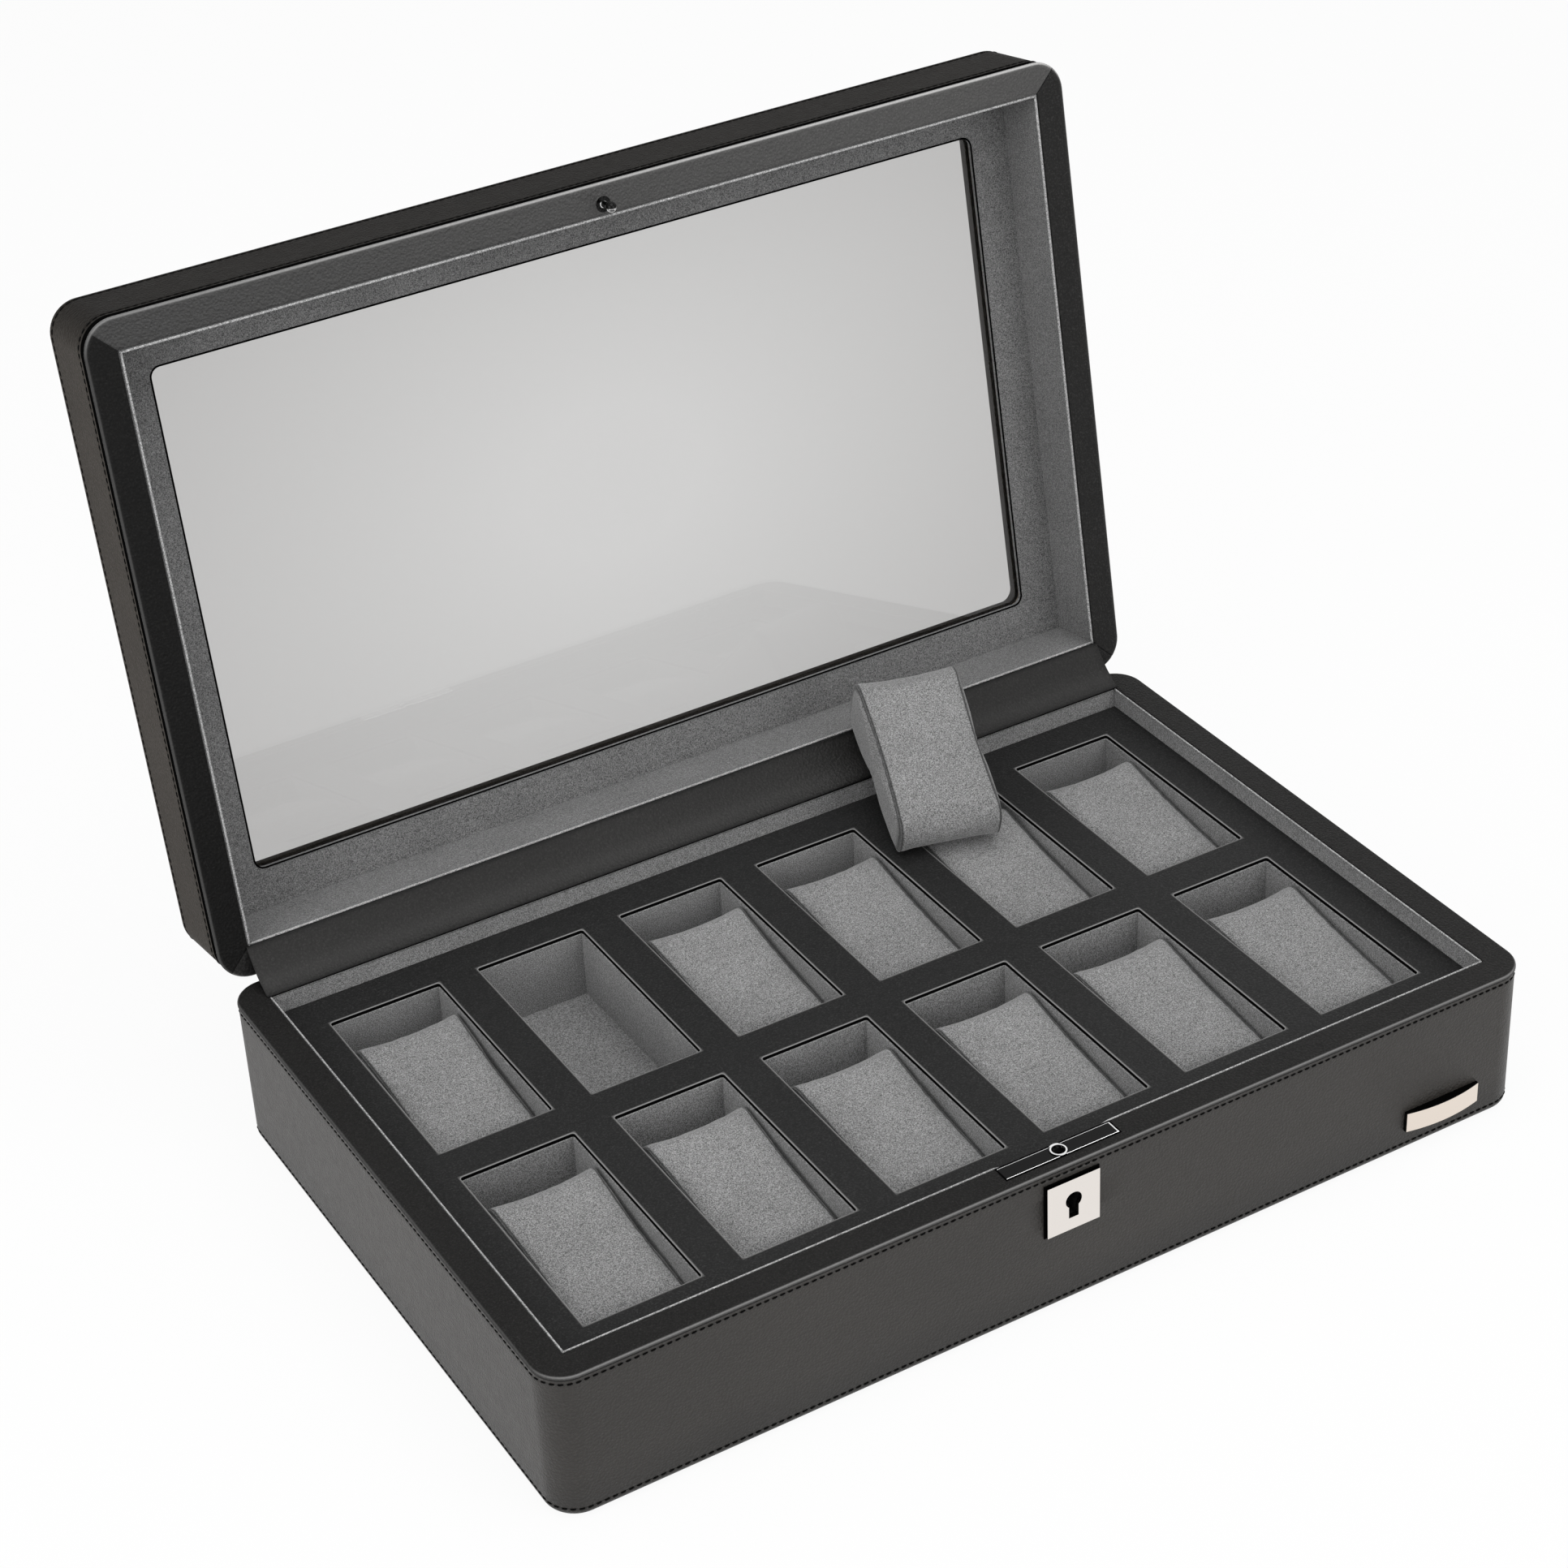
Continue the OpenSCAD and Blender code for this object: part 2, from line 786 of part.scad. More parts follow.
// Leather strip drawn tight between the inner edges of the base and the open lid
module hinge_strip() {
    strip_over = 1.2;   // reach past the inner width, each side
    strip_sag = 1.2;
    stand_off = strip_t / 2 + 0.1;
    low = [inner_d / 2 + 0.3, base_h + stand_off];
    reach = axis_y - inner_d / 2;
    high = [axis_y - reach * cos(open_angle) - stand_off * sin(open_angle),
        axis_z + reach * sin(open_angle) - stand_off * cos(open_angle)];
    chord = norm(high - low);
    lean = atan2(high[1] - low[1], high[0] - low[0]);
    sag_r = (chord * chord / 4 + strip_sag * strip_sag) / (2 * strip_sag);
    half_turn = asin(chord / 2 / sag_r);
    color(leather)
        translate([-inner_w / 2 - strip_over, low[0], low[1]])
            rotate([lean, 0, 0])
                translate([0, chord / 2, sag_r - strip_sag])
                    rotate([90, 0, 90])
                        linear_extrude(inner_w + 2 * strip_over)
                            difference() {
                                circle(sag_r + strip_t / 2);
                                circle(sag_r - strip_t / 2);
                                strip_ends(sag_r, half_turn);
                            }
}

// Leaves only the lower stretch of the strip's ring, the given half turn each way
module strip_ends(r, half_turn) {
    far = 2 * r;
    polygon([
        [0, 0],
        [far * sin(half_turn), -far * cos(half_turn)],
        [far, 0], [far, far], [-far, far], [-far, 0],
        [-far * sin(half_turn), -far * cos(half_turn)]
    ]);
}

// ---------- lid, drawn closed and then opened ----------

// Solid form of the lid's walls and top with every face moved in by the inset
module lid_form(inset, z0) {
    r = corner_r - inset;
    edge = top_edge_r - inset;
    top = lid_top - inset;
    slab(outer_w - 2 * inset, outer_d - 2 * inset, r, z0, top - edge);
    slab(outer_w - 2 * inset - 2 * edge, outer_d - 2 * inset - 2 * edge, r - edge, z0, top);
    run_round(outer_w - 2 * inset, outer_d - 2 * inset, r)
        intersection() {
            translate([r - edge, top - edge]) circle(edge);
            translate([r - edge, top - edge]) square(edge);
        }
}

// Opening of the window through the lid's top, with the padded edge turned outwards.
// The outset moves its faces away from the opening.
module window_space(outset) {
    w = view_w + 2 * outset;
    d = view_d + 2 * outset;
    r = window_corner_r + outset;
    top = lid_top - outset;
    edge = padded_edge_r - outset;
    slab(w, d, r, lid_foot, lid_top + 1);
    difference() {
        slab(w + 2 * edge, d + 2 * edge, r + edge, top - edge, lid_top + 1);
        run_round(w, d, r)
            intersection() {
                translate([r + edge, top - edge]) circle(edge);
                translate([r - 1, top - edge - 1]) square(edge + 1);
            }
        run_round(w, d, r)
            translate([r + edge - eps, top - edge - 1])
                square([1, edge + 1]);
    }
}

module lid_boards(z0, z1) {
    intersection() {
        difference() {
            lid_form(leather_t, lid_board_foot);
            if (z0 > frame_foot)
                window_space(leather_t);
            else
                plain_slab(inner_w + 2 * lining_t, inner_d + 2 * lining_t, 0, lid_top + 1);
        }
        plain_slab(outer_w, outer_d, z0, z1);
    }
}

module lid_panel(side) {
    mitre(side) lid_boards(lid_board_foot, glass_top);
}

module lid_front_panel() {
    color(board)
        opened()
            difference() {
                lid_panel(0);
                translate([0, lock_y, lid_foot])
                    cylinder(h = catch_shank_l + 0.5, r = catch_shank_r + turn_gap);
            }
}

module lid_rear_panel() {
    color(board)
        opened()
            difference() {
                lid_panel(2);
                knuckle_space();
                mirror([0, 0, 1])
                    translate([0, 0, -2 * lid_board_foot])
                        screw_holes(lid_board_foot + eps);
            }
}

module lid_left_panel() {
    color(board) opened() lid_panel(3);
}

module lid_right_panel() {
    color(board) opened() lid_panel(1);
}

module lid_top_frame() {
    color(board)
        opened()
            for (side = [0:3]) mitre(side) lid_boards(glass_top, lid_top);
}

// Leather over the lid's walls and top, turned in over the padded edge to the glass
module lid_leather_wrap() {
    color(leather)
        opened()
            difference() {
                lid_form(0, lid_board_foot);
                window_space(0);
                difference() {
                    lid_form(leather_t, lid_foot);
                    difference() {
                        window_space(leather_t);
                        plain_slab(outer_w, outer_d, 0, glass_top);
                    }
                }
                knuckle_space();
            }
}

module lid_rim() {
    color(leather)
        opened()
            difference() {
                for (side = [0:3]) mitre(side) rim_ring(lid_foot, lid_board_foot);
                leaf_beds(lid_foot - 1, lid_board_foot + eps);
                knuckle_space();
                translate([0, lock_y, lid_foot - 1])
                    cylinder(h = leather_t + 2, r = catch_plate_r + turn_gap);
            }
}

module lid_wall_liner() {
    color(suede)
        opened()
            for (side = [0:3])
                mitre(side)
                    difference() {
                        plain_slab(inner_w + 2 * lining_t, inner_d + 2 * lining_t,
                            lid_foot + liner_drop, frame_foot);
                        plain_slab(inner_w, inner_d, 0, lid_top);
                    }
}

module lid_glass_frame() {
    color(suede)
        opened()
            difference() {
                plain_slab(inner_w + 2 * lining_t, inner_d + 2 * lining_t, frame_foot, glass_foot);
                slab(view_w, view_d, window_corner_r, 0, lid_top);
            }
}

module glass_gasket() {
    glass_w = view_w + 2 * glass_lap + 2 * glass_slip;
    glass_d = view_d + 2 * glass_lap + 2 * glass_slip;
    color("black")
        opened()
            difference() {
                plain_slab(inner_w + 2 * lining_t, inner_d + 2 * lining_t, glass_foot, glass_top);
                plain_slab(glass_w, glass_d, 0, lid_top);
            }
}

module glass_pane() {
    color([0.8, 0.85, 0.85, 0.3])
        opened()
            plain_slab(view_w + 2 * glass_lap, view_d + 2 * glass_lap, glass_foot, glass_top);
}

module catch_plate() {
    color(steel)
        opened()
            translate([0, lock_y, lid_foot])
                difference() {
                    cylinder(h = catch_plate_t, r = catch_plate_r);
                    translate([0, 0, -1])
                        cylinder(h = catch_plate_t + 2, r = catch_shank_r + turn_gap);
                }
}

// Ball pin: threaded shank in the panel, neck through the rim, ball below
module catch_pin() {
    color(steel)
        opened()
            translate([0, lock_y, lid_foot]) {
                cylinder(h = catch_shank_l, r = catch_shank_r);
                translate([0, 0, -ball_reach])
                    cylinder(h = ball_reach + 1, r = neck_r);
                translate([0, 0, -ball_reach])
                    sphere(ball_r);
            }
}

// ---------- cushions ----------

// Side outline of a cushion: a wedge with rounded edges, y = 0 at the thin front end
module cushion_outline() {
    r = cushion_edge_r;
    slope = atan2(cushion_back_t - cushion_front_t, cushion_l - 2 * r);
    low = [r, r];
    low_back = [cushion_l - r, r];
    high_front = [r, cushion_front_t - r];
    high_back = [cushion_l - r, cushion_back_t - r];
    rise = [-r * sin(slope), r * cos(slope)];
    for (c = [low, low_back, high_front, high_back])
        translate(c) circle(r);
    polygon([
        [r, 0], [cushion_l - r, 0], [cushion_l, r], [cushion_l, cushion_back_t - r],
        high_back + rise, high_front + rise, [0, cushion_front_t - r], [0, r]
    ]);
}

// Cushion lying on z = 0 with its thin end's edge along x at y = 0
module cushion_form() {
    intersection() {
        translate([-cushion_w / 2, 0, 0])
            rotate([90, 0, 90])
                linear_extrude(cushion_w)
                    cushion_outline();
        translate([0, cushion_l / 2, -1])
            linear_extrude(cushion_back_t + 2)
                rounded_rect(cushion_w, cushion_l, cushion_corner_r);
    }
}

// Cushion in its compartment, row 1 behind and -1 in front
module cushion(i, row) {
    color(suede)
        translate([column_x(i), row * pitch_y / 2 - well_d / 2 + cushion_front_gap, cushion_seat])
            cushion_form();
}

// The cushion taken out, thin end on the tray and back end against the hinge strip
module loose_cushion() {
    color(suede)
        translate([loose_x, loose_y, plate_top + loose_gap + thin_end_r])
            rotate([0, 0, loose_turn])
                rotate([loose_lean, 0, 0])
                    translate([0, -cushion_front_t / 2, -cushion_front_t / 2])
                        cushion_form();
}

underside_pad();
bottom_board();
base_front_panel();
base_rear_panel();
base_left_panel();
base_right_panel();
base_leather_wrap();
base_rim();
floor_battens();
tray_false_floor();
compartment_floor_lining();
tray_liner_strips();
edge_blocks();
long_divider();
cross_dividers(1);  // rear_cross_dividers
cross_dividers(-1);  // front_cross_dividers
tray_plate();
lock_case();
lock_cam();
lock_bolt();
lock_top_plate();
escutcheon();
name_plate();
hinge_base_leaves();
hinge_pins();
hinge_base_screws();
hinge_strip();
lid_front_panel();
lid_rear_panel();
lid_left_panel();
lid_right_panel();
lid_top_frame();
lid_leather_wrap();
lid_rim();
lid_wall_liner();
lid_glass_frame();
glass_gasket();
glass_pane();
catch_plate();
catch_pin();
hinge_lid_leaves();
hinge_lid_screws();
cushion(1, 1);  // cushion_rear_1
cushion(3, 1);  // cushion_rear_3
cushion(4, 1);  // cushion_rear_4
cushion(5, 1);  // cushion_rear_5
cushion(6, 1);  // cushion_rear_6
cushion(1, -1);  // cushion_front_1
cushion(2, -1);  // cushion_front_2
cushion(3, -1);  // cushion_front_3
cushion(4, -1);  // cushion_front_4
cushion(5, -1);  // cushion_front_5
cushion(6, -1);  // cushion_front_6
loose_cushion();
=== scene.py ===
import math

import bpy
import numpy as np
from mathutils import Matrix


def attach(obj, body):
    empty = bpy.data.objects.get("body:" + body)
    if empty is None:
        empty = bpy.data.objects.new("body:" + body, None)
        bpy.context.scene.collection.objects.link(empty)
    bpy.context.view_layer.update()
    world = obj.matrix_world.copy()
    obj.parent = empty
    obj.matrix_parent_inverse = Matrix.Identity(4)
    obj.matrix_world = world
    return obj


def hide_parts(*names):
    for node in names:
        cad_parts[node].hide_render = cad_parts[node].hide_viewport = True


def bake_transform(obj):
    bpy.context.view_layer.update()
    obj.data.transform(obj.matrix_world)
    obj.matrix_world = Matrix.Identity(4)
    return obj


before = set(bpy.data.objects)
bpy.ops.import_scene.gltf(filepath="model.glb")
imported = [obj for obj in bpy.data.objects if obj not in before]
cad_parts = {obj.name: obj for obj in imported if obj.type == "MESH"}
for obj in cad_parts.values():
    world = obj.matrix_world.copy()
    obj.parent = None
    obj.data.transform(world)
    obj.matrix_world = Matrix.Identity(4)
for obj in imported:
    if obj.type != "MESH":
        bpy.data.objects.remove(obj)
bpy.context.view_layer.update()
scene = bpy.context.scene
scene.view_settings.view_transform = "Standard"
print("frame loaded:", len(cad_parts), "nodes")

# sizes of the case in millimetres, in the frame's own axes
case = {
    "halfX": 187.5, "halfY": 114.0,      # inner edge of the walls, where the corner arcs turn
    "wall": 12.0,
    "baseH": 62.0, "lidFoot": 63.0, "lidH": 40.0,
    "hingeY": 127.0, "hingeZ": 63.0, "openAngle": 100.0,
    "plateTop": 53.5, "plateFoot": 52.0,
    "pitchX": 60.0, "pitchY": 106.0, "windowX": 22.0, "windowY": 45.0,
    "columns": 6,
}

def placed(name, data, axes, at):
    # an object at a place in metres, with its own right, up and back directions in the rows of axes
    matrix = np.eye(4)
    matrix[:3, :3] = axes.T
    matrix[:3, 3] = at
    thing = bpy.data.objects.new(name, data)
    thing.matrix_world = Matrix(matrix.tolist())
    scene.collection.objects.link(thing)
    return thing


def turned(a, b, degrees):
    # the point (a, b) turned anticlockwise by an angle
    r = math.radians(degrees)
    return a * math.cos(r) - b * math.sin(r), a * math.sin(r) + b * math.cos(r)


# angles in degrees and lengths in millimetres
cameraSpec = {
    "azimuth": -29.224, "elevation": 33.081, "roll": -2.935,
    "distance": 1300.886, "slideX": 32.607, "slideY": -77.780,
    "targetZ": 53.5, "lens": 82.12,
}


def placeCamera(spec):
    # the camera stands along the direction given by two angles, is rolled, and slides in its
    # own plane
    a, e, r = (math.radians(spec[k]) for k in ("azimuth", "elevation", "roll"))
    back = np.array([math.sin(a) * math.cos(e), -math.cos(a) * math.cos(e), math.sin(e)])
    right = np.array([math.cos(a), math.sin(a), 0.0])
    axes = np.array([right, np.cross(back, right), back])
    roll = np.array([[math.cos(r), math.sin(r), 0], [-math.sin(r), math.cos(r), 0], [0, 0, 1]])
    axes = roll @ axes
    place = back * spec["distance"] - np.array([spec["slideX"], spec["slideY"], 0]) @ axes
    place = (place + np.array([0, 0, spec["targetZ"]])) / 1000
    data = bpy.data.cameras.new("camera")
    data.lens = spec["lens"]
    data.sensor_width = 36
    data.clip_start, data.clip_end = 0.05, 60
    scene.camera = placed("camera", data, axes, place)


placeCamera(cameraSpec)
print("camera placed")


def addNode(tree, kind, inputs, output=0, **settings):
    # a shader node, each of its inputs given a plain value or another node's output
    node = tree.nodes.new("ShaderNode" + kind)
    for key, value in settings.items():
        setattr(node, key, value)
    for key, value in inputs.items():
        if isinstance(value, bpy.types.NodeSocket):
            tree.links.new(value, node.inputs[key])
        else:
            node.inputs[key].default_value = value
    return node.outputs[output]


class Finish:
    # a material with its shader, and short calls for the texture nodes that feed it

    def __init__(self, name, **sockets):
        self.material = bpy.data.materials.new(name)
        self.material.use_nodes = True
        self.tree = self.material.node_tree
        self.shader = self.tree.nodes["Principled BSDF"]
        for key, value in sockets.items():
            self.shader.inputs[key].default_value = value
        self.coords = self.add("TexCoord", {}, "Object")

    def add(self, kind, inputs, output=0, **settings):
        return addNode(self.tree, kind, inputs, output, **settings)

    def feed(self, socket, output):
        self.tree.links.new(output, self.shader.inputs[socket])

    def scaled(self, x, y, z):
        return self.add("Mapping", {"Vector": self.coords, "Scale": (x, y, z)})

    def noise(self, scale, detail=3.0, rough=0.55, vector=None):
        return self.add("TexNoise", {"Vector": vector or self.coords, "Scale": scale,
                                     "Detail": detail, "Roughness": rough}, "Fac")

    def cells(self, scale):
        return self.add("TexVoronoi", {"Vector": self.coords, "Scale": scale}, "Distance", feature="F1")

    def value(self, kind, a, b):
        return self.add("Math", {0: a, 1: b}, operation=kind)

    def axes(self):
        return self.add("SeparateXYZ", {0: self.coords}, slice(3))

    def within(self, value, low, high):
        # 1 where the value lies between two limits
        return self.value("MULTIPLY", self.value("GREATER_THAN", value, low),
                          self.value("LESS_THAN", value, high))

    def attribute(self, name):
        return self.add("Attribute", {}, "Fac", attribute_name=name)

    def ramp(self, value, *stops):
        node = self.tree.nodes.new("ShaderNodeValToRGB")
        band = node.color_ramp.elements
        while len(band) < len(stops):
            band.new(0.5)
        for element, (place, colour) in zip(band, stops):
            element.position = place
            element.color = (*colour, 1)
        self.tree.links.new(value, node.inputs["Fac"])
        return node.outputs["Color"]

    def mix(self, value, a, b, blend="MIX"):
        a, b = ((*v, 1) if isinstance(v, tuple) else v for v in (a, b))
        return self.add("Mix", {0: value, 6: a, 7: b}, 2, data_type="RGBA", blend_type=blend)

    def roughness(self, value, low, high):
        span = self.add("MapRange", {"Value": value, "To Min": low, "To Max": high})
        self.feed("Roughness", span)

    def bump(self, height, strength, distance):
        turned = self.add("Bump", {"Height": height, "Strength": strength, "Distance": distance})
        self.feed("Normal", turned)


def nodeBox(node):
    # smallest and largest coordinates of a node's own mesh, in metres
    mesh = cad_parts[node].data
    co = np.zeros(len(mesh.vertices) * 3)
    mesh.vertices.foreach_get("co", co)
    co = co.reshape(-1, 3)
    return co.min(0), co.max(0)


def grey(v, warm=0.0):
    # a grey of brightness v, with its red raised and its blue lowered by the share warm
    return (v * (1 + warm), v, v * (1 - warm))


# every kind of leather on the box: brightness, warmth, gloss and how much of its grain shows
leatherSpec = {
    "base": {"level": 0.021, "warm": 0.14, "rough": (0.36, 0.50), "shine": 0.42,
             "bump": 0.60, "flecks": 0.30},
    "lid": {"level": 0.052, "warm": 0.12, "rough": (0.42, 0.56), "shine": 0.015,
            "bump": 0.60, "flecks": 0.35},
    "baseRim": {"level": 0.014, "warm": 0.03, "rough": (0.40, 0.56), "shine": 0.07,
                "bump": 0.65, "flecks": 0.75},
    "lidRim": {"level": 0.026, "warm": 0.04, "rough": (0.34, 0.48), "shine": 0.58,
               "bump": 0.60, "flecks": 0.50},
    # the lid rim's leather again, darker and duller, as painted shade on the rim's sides
    "lidRimShaded": {"level": 0.018, "warm": 0.02, "rough": (0.44, 0.58), "shine": 0.08,
                "bump": 0.60, "flecks": 0.60},
    "plate": {"level": 0.018, "warm": 0.00, "rough": (0.48, 0.62), "shine": 0.11,
              "bump": 0.50, "flecks": 0.70},
    "strip": {"level": 0.020, "warm": 0.03, "rough": (0.32, 0.46), "shine": 0.14,
              "bump": 0.55, "flecks": 0.40},
}

# patterns in repeats per metre, and brightness as a share of the leather's own or as it is
grainSpec = {
    "tone": 14, "cell": 950, "fine": 1500, "haze": 220,
    "toneSpan": (0.86, 1.14), "fleckShare": 3.6, "hollowShare": 0.45,
    "foldWearAndHighlightLevel": 0.62, "shadeLevel": 0.0015, "deep": 0.0005,
}


def leatherFinish(name, spec):
    # pebbled grain from small cells and finer noise, pale flecks on the tops of the grain, slow
    # changes of tone, a pale line where the piece says fold, partly wear and partly a painted
    # highlight, and a dark field where it says shade, which is painted shade and the rims' dark mitre joints
    g = grainSpec
    f = Finish(name, **{"Specular IOR Level": spec["shine"]})
    tone = f.noise(g["tone"])
    grain = f.cells(g["cell"])
    fine = f.noise(g["fine"], 3, 0.65)
    level, warm = spec["level"], spec["warm"]
    darker, paler = (grey(level * share, warm) for share in g["toneSpan"])
    base = f.ramp(tone, (0.3, darker), (0.7, paler))
    fleck = f.ramp(fine, (0.50, grey(0.0)), (0.72, grey(spec["flecks"])))
    base = f.mix(fleck, base, grey(level * g["fleckShare"], warm))
    base = f.mix(f.value("MULTIPLY", grain, 0.5), base, grey(level * g["hollowShare"], warm))
    # the fold's pale line is wear on folded edges and a painted highlight
    base = f.mix(f.attribute("fold"), base, grey(g["foldWearAndHighlightLevel"], 0.01))
    # painted shade, and the dark mitre joints of the rims
    base = f.mix(f.attribute("shade"), base, grey(g["shadeLevel"]))
    f.feed("Base Color", base)
    f.roughness(f.noise(g["haze"]), *spec["rough"])
    height = f.value("ADD", f.value("MULTIPLY", grain, 0.6), f.value("MULTIPLY", fine, 0.7))
    f.bump(height, spec["bump"], g["deep"])
    return f.material


suedeSpec = {
    "lining": {"level": 0.232, "sheen": 0.24},
    "lidLining": {"level": 0.168, "sheen": 0.20},
    "cushion": {"level": 0.235, "sheen": 0.26},
    # the edge suede is the lining's suede made paler, a painted highlight on the folded top edges
    "edge": {"level": 0.36, "sheen": 0.28},
}

# patterns of the nap in repeats per metre, and how strongly the two finer ones lie over the tone
napSpec = {
    "specks": 2300, "brush": 700, "clouds": 45,
    "cloudSpan": (0.93, 1.07), "brushSpan": (0.36, 0.64), "speckSpan": (0.16, 0.84),
    "brushShare": 0.40, "speckShare": 0.90, "seamAndCreaseShadeLevel": 0.015, "bump": 0.45, "deep": 0.0006,
}


def suedeFinish(name, spec):
    # short nap: fine specks over soft clouds where the pile leans a different way, and dark where
    # the piece says seam: the seam's own dark line, and painted shade in the creases beside it
    g = napSpec
    f = Finish(name, **{
        "Roughness": 0.92, "Specular IOR Level": 0.12,
        "Sheen Weight": spec["sheen"], "Sheen Roughness": 0.45,
    })
    specks = f.noise(g["specks"], 2, 0.7)
    clouds = f.noise(g["clouds"], 3, 0.5)
    brush = f.noise(g["brush"], 3, 0.7)
    darker, paler = (grey(spec["level"] * share) for share in g["cloudSpan"])
    base = f.ramp(clouds, (0.30, darker), (0.70, paler))
    for pattern, span, share in ((brush, "brushSpan", "brushShare"), (specks, "speckSpan", "speckShare")):
        low, high = g[span]
        base = f.mix(g[share], base, f.ramp(pattern, (0.36, grey(low)), (0.64, grey(high))), "OVERLAY")
    base = f.mix(f.attribute("seam"), base, grey(g["seamAndCreaseShadeLevel"]))
    f.feed("Base Color", base)
    f.bump(f.value("ADD", f.value("MULTIPLY", specks, 0.6), brush), g["bump"], g["deep"])
    return f.material


smear = 60      # repeats per metre of the soft smears on polished metal


def metalFinish(name, level, rough, brushed=False):
    # plain metal, its fine noise drawn out along x where it is brushed
    f = Finish(name, Metallic=1.0, Roughness=rough[0])
    streaks = f.noise(900, 2, 0.5, f.scaled(0.04, 1, 1) if brushed else None)
    f.feed("Base Color", f.ramp(streaks, (0.3, grey(level * 0.94)), (0.7, grey(level))))
    f.roughness(f.noise(smear), *rough)
    f.bump(streaks, 0.05, 0.0001)
    return f.material


def plateFinish(name, spec, node):
    # polished face, with the edges at the top and the left painted near black, a painted reflection of the
    # dark leather
    f = Finish(name, Metallic=1.0)
    low, high = nodeBox(node)
    x, _, z = f.axes()
    rim = spec["rim"] / 1000
    edge = f.value("MAXIMUM", f.value("GREATER_THAN", z, float(high[2]) - rim),
                   f.value("LESS_THAN", x, float(low[0]) + rim))
    f.feed("Base Color", f.mix(edge, spec["tone"], grey(0.006)))
    f.roughness(f.noise(smear), *spec["rough"])
    return f.material


def lockPlateFinish(name, spec, node):
    # polished plate whose flat field is painted dark, a painted reflection, between bright bevels and a
    # bright ring round the ball's hole
    f = Finish(name, Metallic=1.0)
    low, high = nodeBox(node)
    x, y, _ = f.axes()
    middle = (low + high) / 2
    left, right, near, back = (share * spec["edge"] / 1000 for share in spec["edgeShares"])
    field = f.value("MULTIPLY", f.within(x, float(low[0] + left), float(high[0] - right)),
                    f.within(y, float(low[1] + near), float(high[1] - back)))
    across, along = (f.value("POWER", f.value("SUBTRACT", axis, float(centre)), 2.0)
                     for axis, centre in ((x, middle[0]), (y, middle[1])))
    far = f.value("SQRT", f.value("ADD", across, along), 0.0)
    field = f.value("MULTIPLY", field, f.value("GREATER_THAN", far, spec["ring"] / 1000))
    f.feed("Base Color", f.mix(field, grey(0.86), grey(spec["field"])))
    f.roughness(f.noise(smear), *spec["rough"])
    return f.material


def wardFinish(name, spec):
    # brass cam painted near black as painted shade inside the lock, with one brass line slanting across the
    # keyhole as a painted glint
    f = Finish(name, Metallic=1.0)
    x, _, z = f.axes()
    px, pz = spec["keyhole"]
    half = spec["half"] / 1000
    slant = f.value("MULTIPLY", f.value("SUBTRACT", z, pz), spec["slope"])
    wave = f.value("MULTIPLY", f.value("SUBTRACT", f.noise(260, 1), 0.5), spec["wave"])
    off = f.value("ADD", f.value("SUBTRACT", f.value("SUBTRACT", x, px), slant), wave)
    line = f.within(off, -half, half)
    f.feed("Base Color", f.mix(line, grey(0.008), spec["brass"]))
    f.roughness(f.noise(smear), 0.2, 0.35)
    return f.material


def ballFinish(name, node):
    # polished ball whose upper half is painted near black, a painted reflection of the dark inside of the
    # lid
    f = Finish(name, Metallic=1.0)
    low, high = nodeBox(node)
    z = f.axes()[2]
    share = f.value("DIVIDE", f.value("SUBTRACT", z, float(low[2])), float(high[2] - low[2]))
    f.feed("Base Color", f.ramp(share, (0.60, grey(0.85)), (0.69, grey(0.012))))
    f.roughness(f.noise(smear), 0.05, 0.10)
    return f.material


def plainFinish(name, dark, light, scale, rough, stretch=(1, 1, 1), strength=0.2, shine=0.5):
    # one noise pattern between two tones, for boards, felt, rubber and thread
    f = Finish(name, **{"Specular IOR Level": shine})
    pattern = f.noise(scale, 4, 0.6, f.scaled(*stretch))
    f.feed("Base Color", f.ramp(pattern, (0.3, dark), (0.7, light)))
    f.roughness(pattern, *rough)
    f.bump(pattern, strength, 0.0003)
    return f.material


leather = {key: leatherFinish(key + "Leather", spec) for key, spec in leatherSpec.items()}
suede = {key: suedeFinish(key + "Suede", spec) for key, spec in suedeSpec.items()}
escutcheonMetal = plateFinish("escutcheonMetal", {
    "tone": (0.80, 0.755, 0.715), "rough": (0.06, 0.12), "rim": 0.05,
}, "escutcheon")
namePlateMetal = plateFinish("namePlateMetal", {
    "tone": (0.80, 0.715, 0.635), "rough": (0.08, 0.14), "rim": 0.30,
}, "name_plate")
lockPlateMetal = lockPlateFinish("lockPlateMetal", {
    "edge": 0.45, "edgeShares": (0.5, 2, 1, 1.6), "ring": 3.05, "field": 0.014, "rough": (0.10, 0.16),
}, "lock_top_plate")
ballMetal = ballFinish("ballMetal", "catch_pin")
darkMetal = metalFinish("darkMetal", 0.02, (0.15, 0.25))
wardShadeAndGlint = wardFinish("wardShadeAndGlint", {
    "brass": (0.62, 0.44, 0.24), "slope": 0.45, "half": 0.35, "wave": 0.003, "keyhole": (0.0, 0.0455),
})
steelMetal = metalFinish("steelMetal", 0.52, (0.25, 0.38), brushed=True)
paleBoard = plainFinish("paleBoard", (0.42, 0.31, 0.19), (0.56, 0.43, 0.28), 60, (0.6, 0.8),
                        stretch=(0.15, 1, 1))
